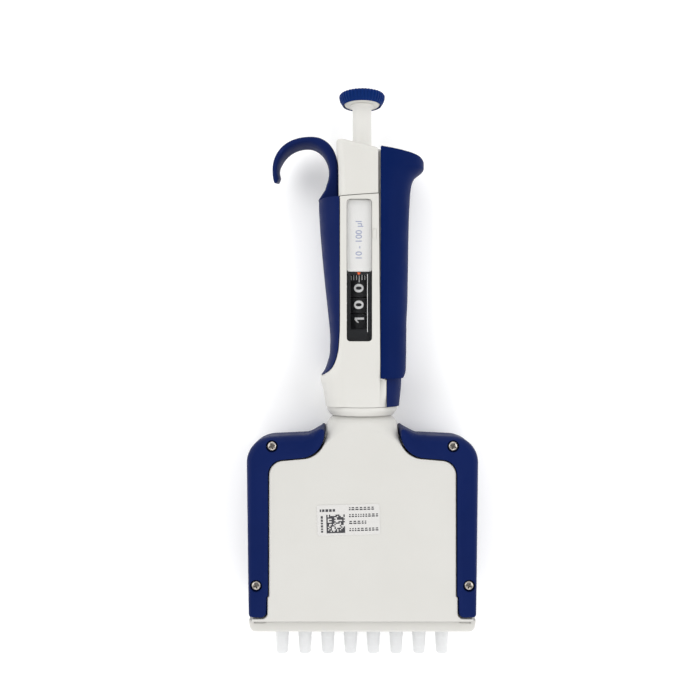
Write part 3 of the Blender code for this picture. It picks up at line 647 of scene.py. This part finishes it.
def build_ejector():
    """The tip ejector's long button: a skin that slides over the handle, with a thumb ledge."""
    rings = []
    bottom = EJECTOR_BOTTOM
    for y in stations(bottom, 20.0, 0.8) + stations(23.0, 68.0, 3.0) + stations(68.5, LEDGE_Y, 0.4):
        edge = curve_through(EJECTOR_EDGE, y)
        lining = OVER_GUIDE + (LINING - OVER_GUIDE) * smoothstep(17.0, 26.0, y)
        rise = 1.6 * smoothstep(bottom + 3.0, bottom, y)
        ring = crescent(y, RIGHT_X, edge, EJECTOR_INNER, EJECTOR_LEFT, (HALF, lining))
        rings.append([(x, py + rise * max(0.0, (x - 15.2) / 1.5) ** 2, z) for x, py, z in ring])
    steps = 10
    for k in range(1, steps + 1):
        share = k / steps
        y = LEDGE_Y + (EJECTOR_TOP - LEDGE_Y) * share
        edge = curve_through(EJECTOR_EDGE, y)
        ring = crescent(y, RIGHT_X, edge, EJECTOR_INNER, EJECTOR_LEFT)
        rings.append([(x, py - ledge_drop(x) * share, z) for x, py, z in ring])
    for rise, inset in ((0.25, 0.08), (0.45, 0.28), (0.6, 0.6)):
        ring = crescent(EJECTOR_TOP, RIGHT_X, EJECTOR_EDGE[0][1] - inset, EJECTOR_INNER + inset * 0.3,
                        EJECTOR_LEFT + inset, (HALF - inset, LINING + inset * 0.3))
        rings.append([(x, py - ledge_drop(x) + rise, z) for x, py, z in ring])
    button = loft("ejector_button_skin", rings, SLIDE_SHADED_BLUE, "ejector", stands_for=["ejector_button"],
                  sharp=40.0)
    soften(button, 0.3, 3, 55.0)
    padded_plate("ejector_lug", box_outline(11.7, 58.0, 15.9, 62.0, 0.5), AXIS_Z - 1.5, AXIS_Z + 1.5,
                 (0.3, 0.3), BLUE, "ejector")


# ---- top cover, hook and push button

def cover_section(shrink):
    """The top cover's section, anticlockwise in X and Z."""
    right = 15.0 - shrink
    left = -9.6 + shrink
    high = HALF - shrink
    corner = eased([(left, -4.0, 0.0), (left, high, 3.0), (8.0, high, 0.0)], 8)[1:-1]
    face = [(-2.0, high), (1.0, high), (3.5, high), (5.9 - shrink, high - 0.12)]
    arc = side_arc(RIGHT_X, right, CORE - shrink, 6.0 - shrink * 0.5, 14)
    upper = [(left, 0.0), (left, high * 0.4)] + corner + face + [(x, h) for x, h in reversed(arc)]
    lower = [(x, -h) for x, h in reversed(upper[1:-1])]
    return [(x, AXIS_Z + h) for x, h in upper + lower]


def leaning(ring):
    """Leans the cover's left wall out a little towards the top."""
    leaned = []
    for x, y, z in ring:
        lean = 0.85 * smoothstep(78.0, 87.0, y) - 0.5
        leaned.append((x - lean * smoothstep(-5.0, -9.0, x), y, z))
    return leaned


TOP_WALL = 1.7
TOP_SLOPE = 0.247
TOP_Y = 87.7
ROOF_Y = 84.3
COVER_LOW = 68.85
COVER_BORE = 4.1


def build_top_cover():
    outer = cover_section(0.0)
    inner = cover_section(TOP_WALL)
    easing = 1.5
    lower_easing = 0.25
    rings = []
    for sine, cosine in quarter(3):
        low = COVER_LOW + lower_easing * cosine
        rings.append([(x, low + parting(x), z) for x, z in inward(outer, lower_easing * sine)])
    for share in (0.2, 0.4, 0.55, 0.65, 0.75, 0.85, 0.93):
        rings.append([(x, COVER_LOW + (TOP_Y - TOP_SLOPE * x - easing - COVER_LOW) * share, z)
                      for x, z in outer])
    for sine, cosine in quarter(5):
        rings.append([(x, TOP_Y - TOP_SLOPE * x - easing * sine, z)
                      for x, z in inward(outer, easing * cosine)])
    bore = [atan2(z - AXIS_Z, x) for x, z in outer]
    for radius, drop in ((4.7, 0.0), (4.3, 0.08), (COVER_BORE, 0.35)):
        rings.append([(radius * cos(angle), TOP_Y - TOP_SLOPE * radius * cos(angle) - drop,
                       AXIS_Z + radius * sin(angle)) for angle in bore])
    rings.append([(COVER_BORE * cos(angle), ROOF_Y, AXIS_Z + COVER_BORE * sin(angle)) for angle in bore])
    rings.append([(x, ROOF_Y, z) for x, z in inner])
    rings.append([(x, COVER_LOW + parting(x), z) for x, z in inner])
    rings = [leaning(ring) for ring in rings]
    loft("top_cover_skin", rings, WHITE, "handle", looped=True, stands_for=["handle_top_cover"],
         sharp=38.0)


HOOK_Y = 78.85
HOOK_Z = (7.5, 20.5)
HOOK_OUTER_X = -9.36
HOOK_INNER = (-21.7, 10.9, 8.65, 10.65, 1.0)
HOOK_OUTER = (-19.9, 15.0, 10.54, 13.4, 0.9)


def hook_point(oval, degrees):
    """A point on an oval (centre x, reach left, reach right, rise, power) round the finger."""
    centre_x, left, right, rise, power = oval
    cosine = cos(radians(degrees))
    sine = sin(radians(degrees))
    reach = right if cosine > 0 else left
    x = centre_x + reach * copysign(abs(cosine) ** power, cosine)
    return (x, HOOK_Y + rise * copysign(abs(sine) ** power, sine))


def hook_section(inner, outer, ease=1.0, lift=0.0):
    """A section across the hook: a long soft curve on the finger's side and a tighter one outside.

    lift raises the lower edge along Y, so that the tip ends in a slant."""
    width = dist(inner, outer)
    low, high = HOOK_Z
    soft = min(1.5 * ease, width * 0.46)
    tall = 5.0 * ease
    tight = min(1.2 * ease, width * 0.46)
    quarters = [(soft, low + tall, soft, tall, 180), (width - tight, low + tight, tight, tight, 270),
                (width - tight, high - tight, tight, tight, 0), (soft, high - tall, soft, tall, 90)]
    ring = []
    for centre, centre_z, across, up, first in quarters:
        for k in range(7):
            angle = radians(first + 15 * k)
            share = (centre + across * cos(angle)) / width
            z = centre_z + up * sin(angle)
            rise = lift * (high - z) / (high - low)
            ring.append((inner[0] + (outer[0] - inner[0]) * share,
                         inner[1] + (outer[1] - inner[1]) * share + rise, z))
    return ring


def build_hook():
    """The finger hook: a band that follows the finger inside and runs into the handle outside."""
    base = [(-17.05, 67.65, 67.85, 0.5), (-17.0, 68.1, 68.2, 0.8), (-16.5, 69.0, 69.0, 1.0),
            (-15.6, 70.4, 70.2, 1.0), (-14.6, 72.0, 71.6, 1.0)]
    rings = [hook_section((x, y), (HOOK_OUTER_X, outer_y), ease) for x, y, outer_y, ease in base]
    for k in range(9):
        share = k / 8
        inner = hook_point(HOOK_INNER, -28 + 28 * share)
        rings.append(hook_section(inner, (HOOK_OUTER_X, 72.9 + (HOOK_Y - 72.9) * share)))
    for k in range(1, 45):
        degrees = 196 * k / 44
        lift = 2.5 * smoothstep(150.0, 196.0, degrees)
        inner = hook_point(HOOK_INNER, degrees)
        rings.append(hook_section(inner, hook_point(HOOK_OUTER, degrees), 1.0, lift))
    tips = [((-32.65, 74.9), (-34.15, 74.2), 0.6), ((-32.95, 74.4), (-33.95, 73.95), 0.4),
            ((-33.2, 74.15), (-33.65, 73.9), 0.2)]
    rings += [hook_section(inner, outer, ease, 2.5) for inner, outer, ease in tips]
    loft("finger_hook_skin", rings, BLUE, "handle", stands_for=["finger_hook"], sharp=50.0)


CAP_RIDGES = 40


def build_push_button():
    """The knurled cap with its white insert and stem."""
    angles = turns(CAP_RIDGES * 6)
    profile = eased([(7.25, 108.9, 0.0), (7.25, 105.85, 0.15), (7.6, 105.85, 0.15), (8.1, 106.6, 0.4),
                     (8.75, 107.7, 0.8), (9.1, 109.3, 0.6), (8.6, 110.2, 0.5), (4.0, 110.35, 0.0)], 4)
    rings = []
    for r, y in profile + [(1.5, 110.35)]:
        depth = 0.4 * smoothstep(7.6, 8.6, r)
        ring = []
        for angle in angles:
            radius = r - depth * (0.5 - 0.5 * cos(angle * CAP_RIDGES)) ** 1.8
            ring.append((radius * cos(angle), y, AXIS_Z + radius * sin(angle)))
        rings.append(ring)
    rings.insert(0, circle(1.5, 108.9, segments=len(angles)))
    loft("button_cap_skin", rings, KNOB_BLUE, "push_button", stands_for=["button_cap"], sharp=60.0)
    insert = eased([(0.0, 105.9, 0.0), (6.7, 105.9, 0.5), (7.04, 106.5, 0.3), (7.04, 108.6, 0.0),
                    (0.0, 108.6, 0.0)], 4)
    turned("button_insert_skin", insert, STEM_LIT_WHITE, "push_button", stands_for=["button_insert"])
    sleeve = eased([(2.3, 73.0, 0.0), (3.75, 73.0, 0.2), (3.75, 104.6, 0.3), (4.7, 105.2, 0.3),
                    (4.7, 105.88, 0.1), (2.3, 105.88, 0.0)], 4)
    turned("button_sleeve_skin", sleeve, STEM_LIT_WHITE, "push_button", stands_for=["button_sleeve"])


# ---- window and counter

WHEEL_R = 8.6
HOME = asin(-1.2 / WHEEL_R)
WHEELS = {"hundreds_wheel": (17.3, 23.1, 20.6), "tens_wheel": (23.5, 29.3, 26.75),
          "units_wheel": (29.7, 38.4, 33.15)}
WHEEL_BORE = 4.6
DIGIT_STEP = radians(36)
TICKS = 50
TICK_TOP = 38.1
LONG_TICK_LOW = 35.4
SHORT_TICK_LOW = 36.3
TICK_HALF = 0.15
PRINT = 0.03
LIFT = 0.005
CARD_TOP = 26.2
CARD_LOW_Y = 39.0


def in_strips(shape, size, slices=9):
    """Cuts a flat glyph into strips so that it can be wrapped round a drum."""
    for k in range(slices):
        level = size * (-0.5 + k / (slices - 1))
        parts = shape.verts[:] + shape.edges[:] + shape.faces[:]
        bmesh.ops.bisect_plane(shape, geom=parts, plane_co=(0, level, 0), plane_no=(0, 1, 0))
    return shape


def flat_shape(outline, z=0.0):
    """A flat bmesh face inside an outline."""
    shape = bmesh.new()
    shape.faces.new([shape.verts.new((x, y, z)) for x, y in outline])
    return shape


def digit_mesh(value):
    """One wide digit for a counter wheel; the 1 has a flag and no foot."""
    if value == 1:
        outline = [(0.4, 1.82), (-0.75, 0.75), (-0.75, 0.1), (0.4, 0.9), (0.4, -1.82), (1.25, -1.82),
                   (1.25, 1.82)]
        return in_strips(flat_shape(outline), 3.8)
    shape = glyph_mesh(str(value), 5.2, 0.14)
    for vertex in shape.verts:
        vertex.co.x *= 1.27
        vertex.co.y *= 0.95
    return in_strips(shape, 5.2)


def glyph_mesh(text, size, weight):
    """A flat text's filled outline as a bmesh."""
    curve = bpy.data.curves.new("glyph", "FONT")
    curve.body = text
    curve.size = size
    curve.align_x = "CENTER"
    curve.align_y = "CENTER"
    curve.offset = weight
    thing = add_object("glyph", curve)
    bpy.context.view_layer.update()
    mesh = bpy.data.meshes.new_from_object(thing.evaluated_get(bpy.context.evaluated_depsgraph_get()))
    bpy.data.objects.remove(thing, do_unlink=True)
    shape = bmesh.new()
    shape.from_mesh(mesh)
    return shape


def thicken(shape, depth):
    """Gives a flat bmesh a thickness upwards."""
    made = bmesh.ops.extrude_face_region(shape, geom=shape.faces[:])
    for part in made["geom"]:
        if isinstance(part, bmesh.types.BMVert):
            part.co.z += depth
    return shape


def wrapped(shape, radius, y_middle, angle):
    """Bends a flat glyph round the drum: its top points to -X and it reads along +Y."""
    for vertex in shape.verts:
        turn = angle - vertex.co.y / radius
        r = radius + vertex.co.z
        vertex.co = Vector((r * sin(turn), y_middle + vertex.co.x, AXIS_Z + r * cos(turn)))


def joined(name, shapes, material, body):
    """One piece from several bmeshes in millimetres."""
    whole = bpy.data.meshes.new(name)
    merged = bmesh.new()
    for shape in shapes:
        part = bpy.data.meshes.new("part")
        shape.to_mesh(part)
        shape.free()
        merged.from_mesh(part)
        bpy.data.meshes.remove(part)
    for vertex in merged.verts:
        vertex.co *= MM
    bmesh.ops.recalc_face_normals(merged, faces=merged.faces)
    merged.to_mesh(whole)
    merged.free()
    return finish_piece(name, whole, material, body, sharp=30.0)


def build_wheels():
    for node, (low, high, digit_y) in WHEELS.items():
        profile = eased([(WHEEL_BORE, low, 0.0), (WHEEL_R, low, 0.15), (WHEEL_R, high, 0.15),
                         (WHEEL_BORE, high, 0.0)], 3)
        turned(f"{node}_drum", profile, DRUM, node, segments=96, stands_for=[node])
        digits = []
        for value in range(10):
            shape = thicken(digit_mesh(value), PRINT)
            shown = 1 if node == "hundreds_wheel" else 0
            wrapped(shape, WHEEL_R + LIFT, digit_y, HOME - (value - shown) * DIGIT_STEP)
            digits.append(shape)
        joined(f"{node}_digits", digits, WHITE_INK_AND_HIGHLIGHT, node)
    strips = []
    for k, angle in enumerate(turns(TICKS)):
        low = SHORT_TICK_LOW if k % 5 else LONG_TICK_LOW
        strip = thicken(flat_shape(box_outline(low, -TICK_HALF, TICK_TOP, TICK_HALF), LIFT), PRINT)
        wrapped(strip, WHEEL_R, 0.0, HOME + angle)
        strips.append(strip)
    joined("units_wheel_ticks", strips, WHITE_INK_AND_HIGHLIGHT, "units_wheel")


def inset_box(box, edge):
    return (box[0] + edge, box[1] + edge, box[2] - edge, box[3] - edge)


def build_window():
    pane = inset_box(WINDOW, 0.05)
    left, low, right, high = inset_box(WINDOW, 0.1)
    padded_plate("window_tab", box_outline(*inset_box(TAB, 0.03), 0.57), 26.35, 27.78, (0.08, 0.08), WHITE,
                 "handle", steps=3)
    padded_plate("window_pane", box_outline(*pane, 1.4), 26.6, 27.7, (0.3, 0.3), GLASS, "handle", steps=4,
                 stands_for=["display_window"])
    bezel = padded_plate("counter_bezel_skin", box_outline(left, low, right, CARD_LOW_Y - GAP / 2, 0.9),
                         23.4, CARD_TOP, (0.15, 0.15), BLACK, "handle", steps=2,
                         stands_for=["counter_bezel"])
    cut(bezel, [cutter("bezel_tool", box_outline(-4.5, 17.2, 1.75, TICK_TOP, 0.4), 20.0, 30.0)], 32)
    # Painted highlight: a thin white strip along the right edge of the bezel's opening, standing in for light
    # caught by the lens edge.
    line = box_outline(1.8, 16.2, 1.98, 38.2)
    padded_plate("bezel_painted_highlight", line, CARD_TOP, CARD_TOP + PRINT, (0.01, 0.01), WHITE_INK_AND_HIGHLIGHT, "handle", steps=1)
    padded_plate("window_card", box_outline(left, CARD_LOW_Y + GAP / 2, right, high, 0.9), CARD_TOP - 0.6,
                 CARD_TOP, (0.1, 0.1), CARD, "handle", steps=2, stands_for=["label_card"])
    pointer = rounded([(-2.2, 38.8, 0.1), (-1.4, 37.75, 0.1), (-0.6, 38.8, 0.1)], 3)
    padded_plate("volume_pointer_skin", pointer, CARD_TOP + 0.05, CARD_TOP + 0.3, (0.05, 0.05), ORANGE_INK,
                 "handle", steps=2, stands_for=["volume_pointer"])
    mark = thicken(glyph_mesh("10 - 100 µl", 3.4, 0.02), 0.02)
    for vertex in mark.verts:
        vertex.co = Vector((-1.3 - vertex.co.y, 51.0 + vertex.co.x, CARD_TOP + 0.01 + vertex.co.z))
    joined("card_range_mark", [mark], BLUE_INK, "handle")


# ---- collar, ejector bar and nozzles

def build_collar():
    profile = eased([(9.9, -15.95, 0.0), (12.3, -15.95, 0.5), (13.8, -14.0, 1.6), (13.8, -12.57, 0.2),
                     (11.9, -12.57, 0.0), (11.9, -11.1, 0.0), (9.9, -11.1, 0.0)], 6)
    turned("swivel_collar_skin", profile, WHITE, "handle", segments=96,
           stands_for=["swivel_collar"])


NOZZLE_HOLE_R = 3.0
TIP_BORE_R = 0.9


def build_bar():
    """The tip ejector's bar, with rounded ends and edges and a hole for each nozzle."""
    outline = rounded([(-43.5, -93.65, 0.4), (-43.2, -98.6, 2.6), (43.2, -98.6, 2.6), (43.5, -93.65, 0.4)], 8)
    insets = [0.3 + 0.7 * smoothstep(-93.7, -97.5, y) for x, y in outline]
    bar = padded_plate("tip_ejector_bar_skin", outline, 3.0, 25.0, (1.1, 1.9), WHITE, "tip_ejector", insets,
                       steps=6, stands_for=["tip_ejector_bar"])
    tools = [loft("hole_tool", [circle(NOZZLE_HOLE_R, y, x, 32) for y in (-102.0, -90.0)], WHITE, None)
             for x in CHANNEL_X]
    cut(bar, tools, 35)


def build_nozzles():
    profile = eased([(TIP_BORE_R, -110.0, 0.0), (2.1, -110.0, 0.3), (2.3, -109.5, 0.2), (2.38, -107.2, 0.1),
                     (2.46, -107.0, 0.1), (2.56, -103.6, 0.1), (2.66, -103.3, 0.1), (2.75, -98.6, 0.2),
                     (2.75, -93.4, 0.0), (3.4, -93.4, 0.1), (3.4, -92.1, 0.0), (TIP_BORE_R, -92.1, 0.0)], 3)
    for k, x in enumerate(CHANNEL_X):
        node = f"nozzle_{k + 1}"
        turned(f"{node}_cone", profile, BRIGHT, "head", x=x, segments=40, stands_for=[node])


# ---- head

COVER_TOP = 13.6
COVER_WALL = 1.8
NECK_Y = -16.07
NECK_TOP_R = 11.1
NECK_EASE = 2.6
HEAD_LOW = -93.55


def cover_half_outline():
    """The right edge of the white cover, from the neck down, as (x, y)."""
    return eased([(13.6, -18.5, 0.0), (13.75, -22.0, 0.0), (14.6, -31.3, 9.5), (35.45, -33.1, 5.4),
                  (35.5, -84.0, 0.0), (36.05, -84.4, 0.0), (36.05, -92.6, 2.2), (42.0, -92.5, 0.6),
                  (42.0, HEAD_LOW, 0.0)], 24)


def cover_ring(width, height, corner, y, side):
    """Half a rounded section over the axis, from its right side to its left."""
    corner = min(corner, width, height)
    right = [(width, 0.0), (width, (height - corner) * 0.5), (width, height - corner)]
    for k in range(1, 13):
        angle = pi / 2 * k / 12
        right.append((width - corner + corner * cos(angle), height - corner + corner * sin(angle)))
    inner = width - corner
    right += [(inner * 0.66, height), (inner * 0.33, height), (0.0, height)]
    half = right + [(-x, z) for x, z in reversed(right[:-1])]
    return [(x, y, AXIS_Z + side * max(z, GAP / 2)) for x, z in half]


def build_head_cover(node, side):
    outline = cover_half_outline()
    samples = []
    for (x0, y0), (x1, y1) in zip(outline, outline[1:]):
        step = 8.0 if y0 < -45 and y1 < -45 else 1.0
        pieces = max(1, ceil((y0 - y1) / step))
        for k in range(pieces):
            share = k / pieces
            samples.append((x0 + (x1 - x0) * share, y0 + (y1 - y0) * share))
    samples.append(outline[-1])
    rings = [cover_ring(9.95, 9.95, 9.95, NECK_Y, side)]
    for k in range(11):
        share = k / 10
        radius = NECK_TOP_R + (COVER_TOP - NECK_TOP_R) * (0.6 * share + 0.4 * sin(pi / 2 * share))
        rings.append(cover_ring(radius, radius, radius, NECK_Y - NECK_EASE * share, side))
    lowest = NECK_Y - NECK_EASE
    for x, y in samples:
        if y > lowest - 0.01:
            continue
        lowest = y
        corner = COVER_TOP + (0.7 - COVER_TOP) * smoothstep(18.6, 27.5, -y) ** 0.7
        rings.append(cover_ring(x, COVER_TOP, corner, y, side))
    count = len(rings[0])
    points = [point for ring in rings for point in ring]
    faces = []
    for k in range(len(rings) - 1):
        for i in range(count - 1):
            here = k * count + i
            faces.append((here, here + 1, here + count + 1, here + count))
    skin = piece(f"{node}_skin", points, faces, HEAD_SHADED_WHITE, "head", stands_for=[node], sharp=40.0)
    wall = skin.modifiers.new("wall", "SOLIDIFY")
    wall.thickness = COVER_WALL * MM
    wall.offset = -1.0


FRAME_CORNERS = [(14.3, -19.6, 1.3), (20.8, -22.9, 6.0), (44.3, -24.0, 10.0), (43.4, -92.25, 1.4),
                 (36.3, -92.2, 2.2), (36.3, -84.2, 0.0), (35.75, -83.8, 0.0), (35.7, -32.8, 5.7),
                 (14.9, -31.0, 9.5)]
SCREW_SEAT_R = 2.3
SCREW_HOLE_R = 1.45
SCREWS = {"upper_left_screw": (-34.3, -27.05), "upper_right_screw": (34.3, -27.05),
          "lower_left_screw": (-40.3, -79.85), "lower_right_screw": (40.3, -79.85)}


def build_side_frame(node, mirrored):
    """A blue side frame: broad rounding on its outer side and a crisp inner edge."""
    outline = rounded(FRAME_CORNERS, 14)
    insets = []
    for x, y in outline:
        outer = max(smoothstep(36.5, 41.0, x), smoothstep(-28.0, -25.0, y) * smoothstep(14.5, 19.0, x))
        low = smoothstep(-86.0, -90.5, y) * 0.5
        insets.append(max(0.12, outer * (1 - 0.55 * smoothstep(-89.0, -92.0, y)), low * 0.6))
    if mirrored:
        outline = [(-x, y) for x, y in outline]
    body = padded_plate(f"{node}_skin", outline, 0.0, 28.0, (2.3, 3.6), BLUE, "head", insets, steps=9,
                        lean=1.8, stands_for=[node])
    side = -1 if mirrored else 1
    cavity = rounded([(16.5, -25.1, 0.0), (42.1, -25.5, 9.0), (41.4, -90.1, 0.0), (30.0, -90.1, 0.0),
                      (30.0, -40.0, 0.0), (10.0, -40.0, 0.0), (10.0, -25.1, 0.0)], 10)
    tools = [cutter("cavity_tool", [(side * x, y) for x, y in cavity], 2.2, 25.8)]
    slot_x = sorted((side * 36.2, side * 38.8))
    tools.append(cutter("slot_tool", box_outline(slot_x[0], -96.0, slot_x[1], -88.0), 8.6, 19.4))
    for x, y in SCREWS.values():
        if x * side > 0:
            tools.append(cutter("seat_tool", disc_outline(SCREW_SEAT_R, x, y), 26.4, 30.0))
            tools.append(cutter("hole_tool", disc_outline(SCREW_HOLE_R, x, y), 18.0, 28.0))
    cut(body, tools, 38)


def build_screw(node, x, y, turn):
    """A pan-head screw with a cross recess."""
    profile = [(1.15, 21.0), (1.15, 26.7), (1.8, 26.7), (1.8, 27.1), (1.68, 27.4), (1.4, 27.62), (0.8, 27.74),
               (0.25, 27.76)]
    rings = [[(px, py, z) for px, py in disc_outline(r, x, y)] for r, z in profile]
    screw = loft(f"{node}_head", rings, SCREW, "head", stands_for=[node])
    tools = []
    for angle in (turn, turn + pi / 2):
        along = Vector((cos(angle), sin(angle))) * 1.15
        across = Vector((-sin(angle), cos(angle))) * 0.24
        corners = [along + across, -along + across, -along - across, along - across]
        tools.append(cutter("cross_tool", [(x + c.x, y + c.y) for c in corners], 26.9, 29.0))
    cut(screw, tools, 30)


def dashes(chance, start, end, longest, gap):
    """Places and lengths of the dashes in a row that stand for words."""
    while start < end:
        length = chance.uniform(0.5, longest)
        yield start, length
        start += length + gap


def build_label():
    """The paper label: a block of squares and dashes that stand for its print."""
    chance = random.Random(7)
    turn = radians(1.5)
    middle_x, middle_y = -5.3, -54.85
    face = AXIS_Z + COVER_TOP

    def place(x, y):
        return (middle_x + x * cos(turn) - y * sin(turn), middle_y + x * sin(turn) + y * cos(turn))

    sheet = [place(x, y) for x, y in box_outline(-11.9, -5.8, 11.9, 5.8, 0.8)]
    padded_plate("asset_label_paper", sheet, face + 0.02, face + 0.12, (0.04, 0.04), PAPER, "head", steps=2,
                 stands_for=["asset_label"])
    marks = []

    def mark(x, y, width, height):
        outline = [place(*corner) for corner in box_outline(x, y, x + width, y + height)]
        marks.append(thicken(flat_shape(outline, face + 0.122), 0.012))

    cell = 0.5
    for row in range(14):
        for column in range(14):
            edge = row == 0 or column == 0
            if edge or chance.random() < 0.5:
                mark(-8.4 + column * cell, -4.9 + row * cell, cell * 1.04, cell * 1.04)
    for y, row_length in ((3.6, 9.5), (1.0, 10.2), (-1.6, 6.4), (-4.3, 10.6)):
        for x, length in dashes(chance, 0.2, 0.2 + row_length, 1.25, 0.35):
            mark(x, y, length, 0.46)
            mark(x + 0.1, y + 0.74, length * 0.8, 0.42)
    for x, length in dashes(chance, -10.8, -4.8, 1.1, 0.35):
        mark(x, 3.2, length, 1.0)
    for y, length in dashes(chance, -4.6, 1.4, 1.0, 0.3):
        mark(-10.5, y, 0.8, length)
    joined("asset_label_print", marks, BLACK_INK, "head")


# ---- inner pieces that keep their CAD shape

def dress_inner_pieces():
    for row in frame["record"]["subparts"]:
        node = frame["nodes"][row["node"]]
        if not node.hide_render:
            node.data.materials.clear()
            node.data.materials.append(SLOTS[row["material_slot"]][0])
            if row["node"] in ("cylinder_block", "piston_bar", "seal_plate", "ejector_yoke", "spring_seat"):
                soften(node, 0.25, 2, 50.0)


SPRINGS = {
    "primary_spring": ("handle", "button_press", 3.8, 0.35, 7, 0.25),
    "ejector_spring": ("handle", "eject_press", 1.85, 0.25, 8, 0.48),
    "blowout_spring": ("head", "button_press", 1.9, 0.3, 4, 0.44),
}


def build_springs():
    """Coil springs wound along the CAD springs they stand for, each riding on its body."""
    for node, (body, joint, radius, wire, coils, keep) in SPRINGS.items():
        low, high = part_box(node)
        x = (low.x + high.x) / 2 / MM
        first = low.y / MM + wire
        last = high.y / MM - wire
        steps = 24
        rings = []
        for k in range(coils * steps + 1):
            turn = 2 * pi * k / steps
            y = first + (last - first) * k / (coils * steps)
            ring = []
            for angle in turns(10):
                reach = radius + wire * cos(angle)
                ring.append((x + reach * cos(turn), y + wire * sin(angle), AXIS_Z + reach * sin(turn)))
            rings.append(ring)
        spring = loft(f"{node}_coil", rings, STEEL, body, stands_for=[node])
        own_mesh(spring)


# ---- stage, light and camera

def build_stage():
    mesh = bpy.data.meshes.new("floor")
    size = 1.6
    corners = box_outline(-size, -size, size, size)
    mesh.from_pydata([(x, y, 0.0) for x, y in corners], [], [(0, 1, 2, 3)])
    nodes = Nodes("floor_white")
    nodes.set(Base_Color=(0.95, 0.95, 0.95, 1.0), Roughness=0.9, Specular_IOR_Level=0.05)
    nodes.set(Emission_Color=(1.0, 1.0, 1.0, 1.0), Emission_Strength=0.08)
    mesh.materials.append(nodes.made)
    floor = add_object("floor", mesh)
    floor.location.z = -0.0001


def build_light():
    """An even white tent, a little darker straight overhead, with four broad soft boxes."""
    nodes = Nodes("tent", bpy.data.worlds, "Background")
    bpy.context.scene.world = nodes.made
    split = nodes.add("ShaderNodeSeparateXYZ", {0: nodes.add("ShaderNodeTexCoord").outputs["Generated"]})
    inputs = {"Value": split.outputs["Z"], "From Min": 0.6, "From Max": 0.95, "To Min": 1.38, "To Max": 0.2}
    shape = nodes.add("ShaderNodeMapRange", inputs, interpolation_type="SMOOTHSTEP")
    nodes.link(shape.outputs["Result"], "Strength")
    nodes.set(Color=(1.0, 1.0, 1.0, 1.0))
    for name, place, size, power in (("left_box", (-0.75, 0.15, 0.75), 0.7, 3.2),
                                     ("right_box", (0.75, 0.05, 0.75), 0.7, 3.2),
                                     ("foot_box", (0.05, -0.8, 0.7), 0.7, 2.2),
                                     ("top_box", (0.0, 0.8, 0.7), 0.7, 1.4)):
        light = bpy.data.lights.new(name, "AREA")
        light.shape = "SQUARE"
        light.size = size
        light.energy = power
        lamp = add_object(name, light)
        lamp.location = place
        lamp.rotation_euler = (-Vector(place)).to_track_quat("-Z", "Y").to_euler()


def build_camera():
    camera = bpy.data.cameras.new("camera")
    camera.lens = 39.9
    camera.sensor_width = 36.0
    camera.clip_start = 0.01
    thing = add_object("camera", camera)
    thing.location = (-0.00475, 0.00935, 0.321)
    bpy.context.scene.camera = thing


def main():
    build_camera()
    build_light()
    build_stage()
    handle_shell("handle_front_shell", 1)
    handle_shell("handle_rear_shell", -1)
    build_grip()
    build_guide()
    build_ejector()
    build_top_cover()
    build_hook()
    build_push_button()
    build_wheels()
    build_window()
    build_collar()
    build_bar()
    build_nozzles()
    build_head_cover("head_front_cover", 1)
    build_head_cover("head_rear_cover", -1)
    build_side_frame("left_side_frame", True)
    build_side_frame("right_side_frame", False)
    for k, (node, (x, y)) in enumerate(SCREWS.items()):
        build_screw(node, x, y, 0.35 + 0.8 * k)
    build_label()
    build_springs()
    dress_inner_pieces()
    for thing in bpy.context.scene.objects:
        plain = thing.name == "floor" or thing.name in frame["nodes"] or thing.name.endswith("_coil")
        if thing.type == "MESH" and not plain:
            even_shading(thing)
    bpy.context.scene.view_settings.view_transform = "Standard"


main()
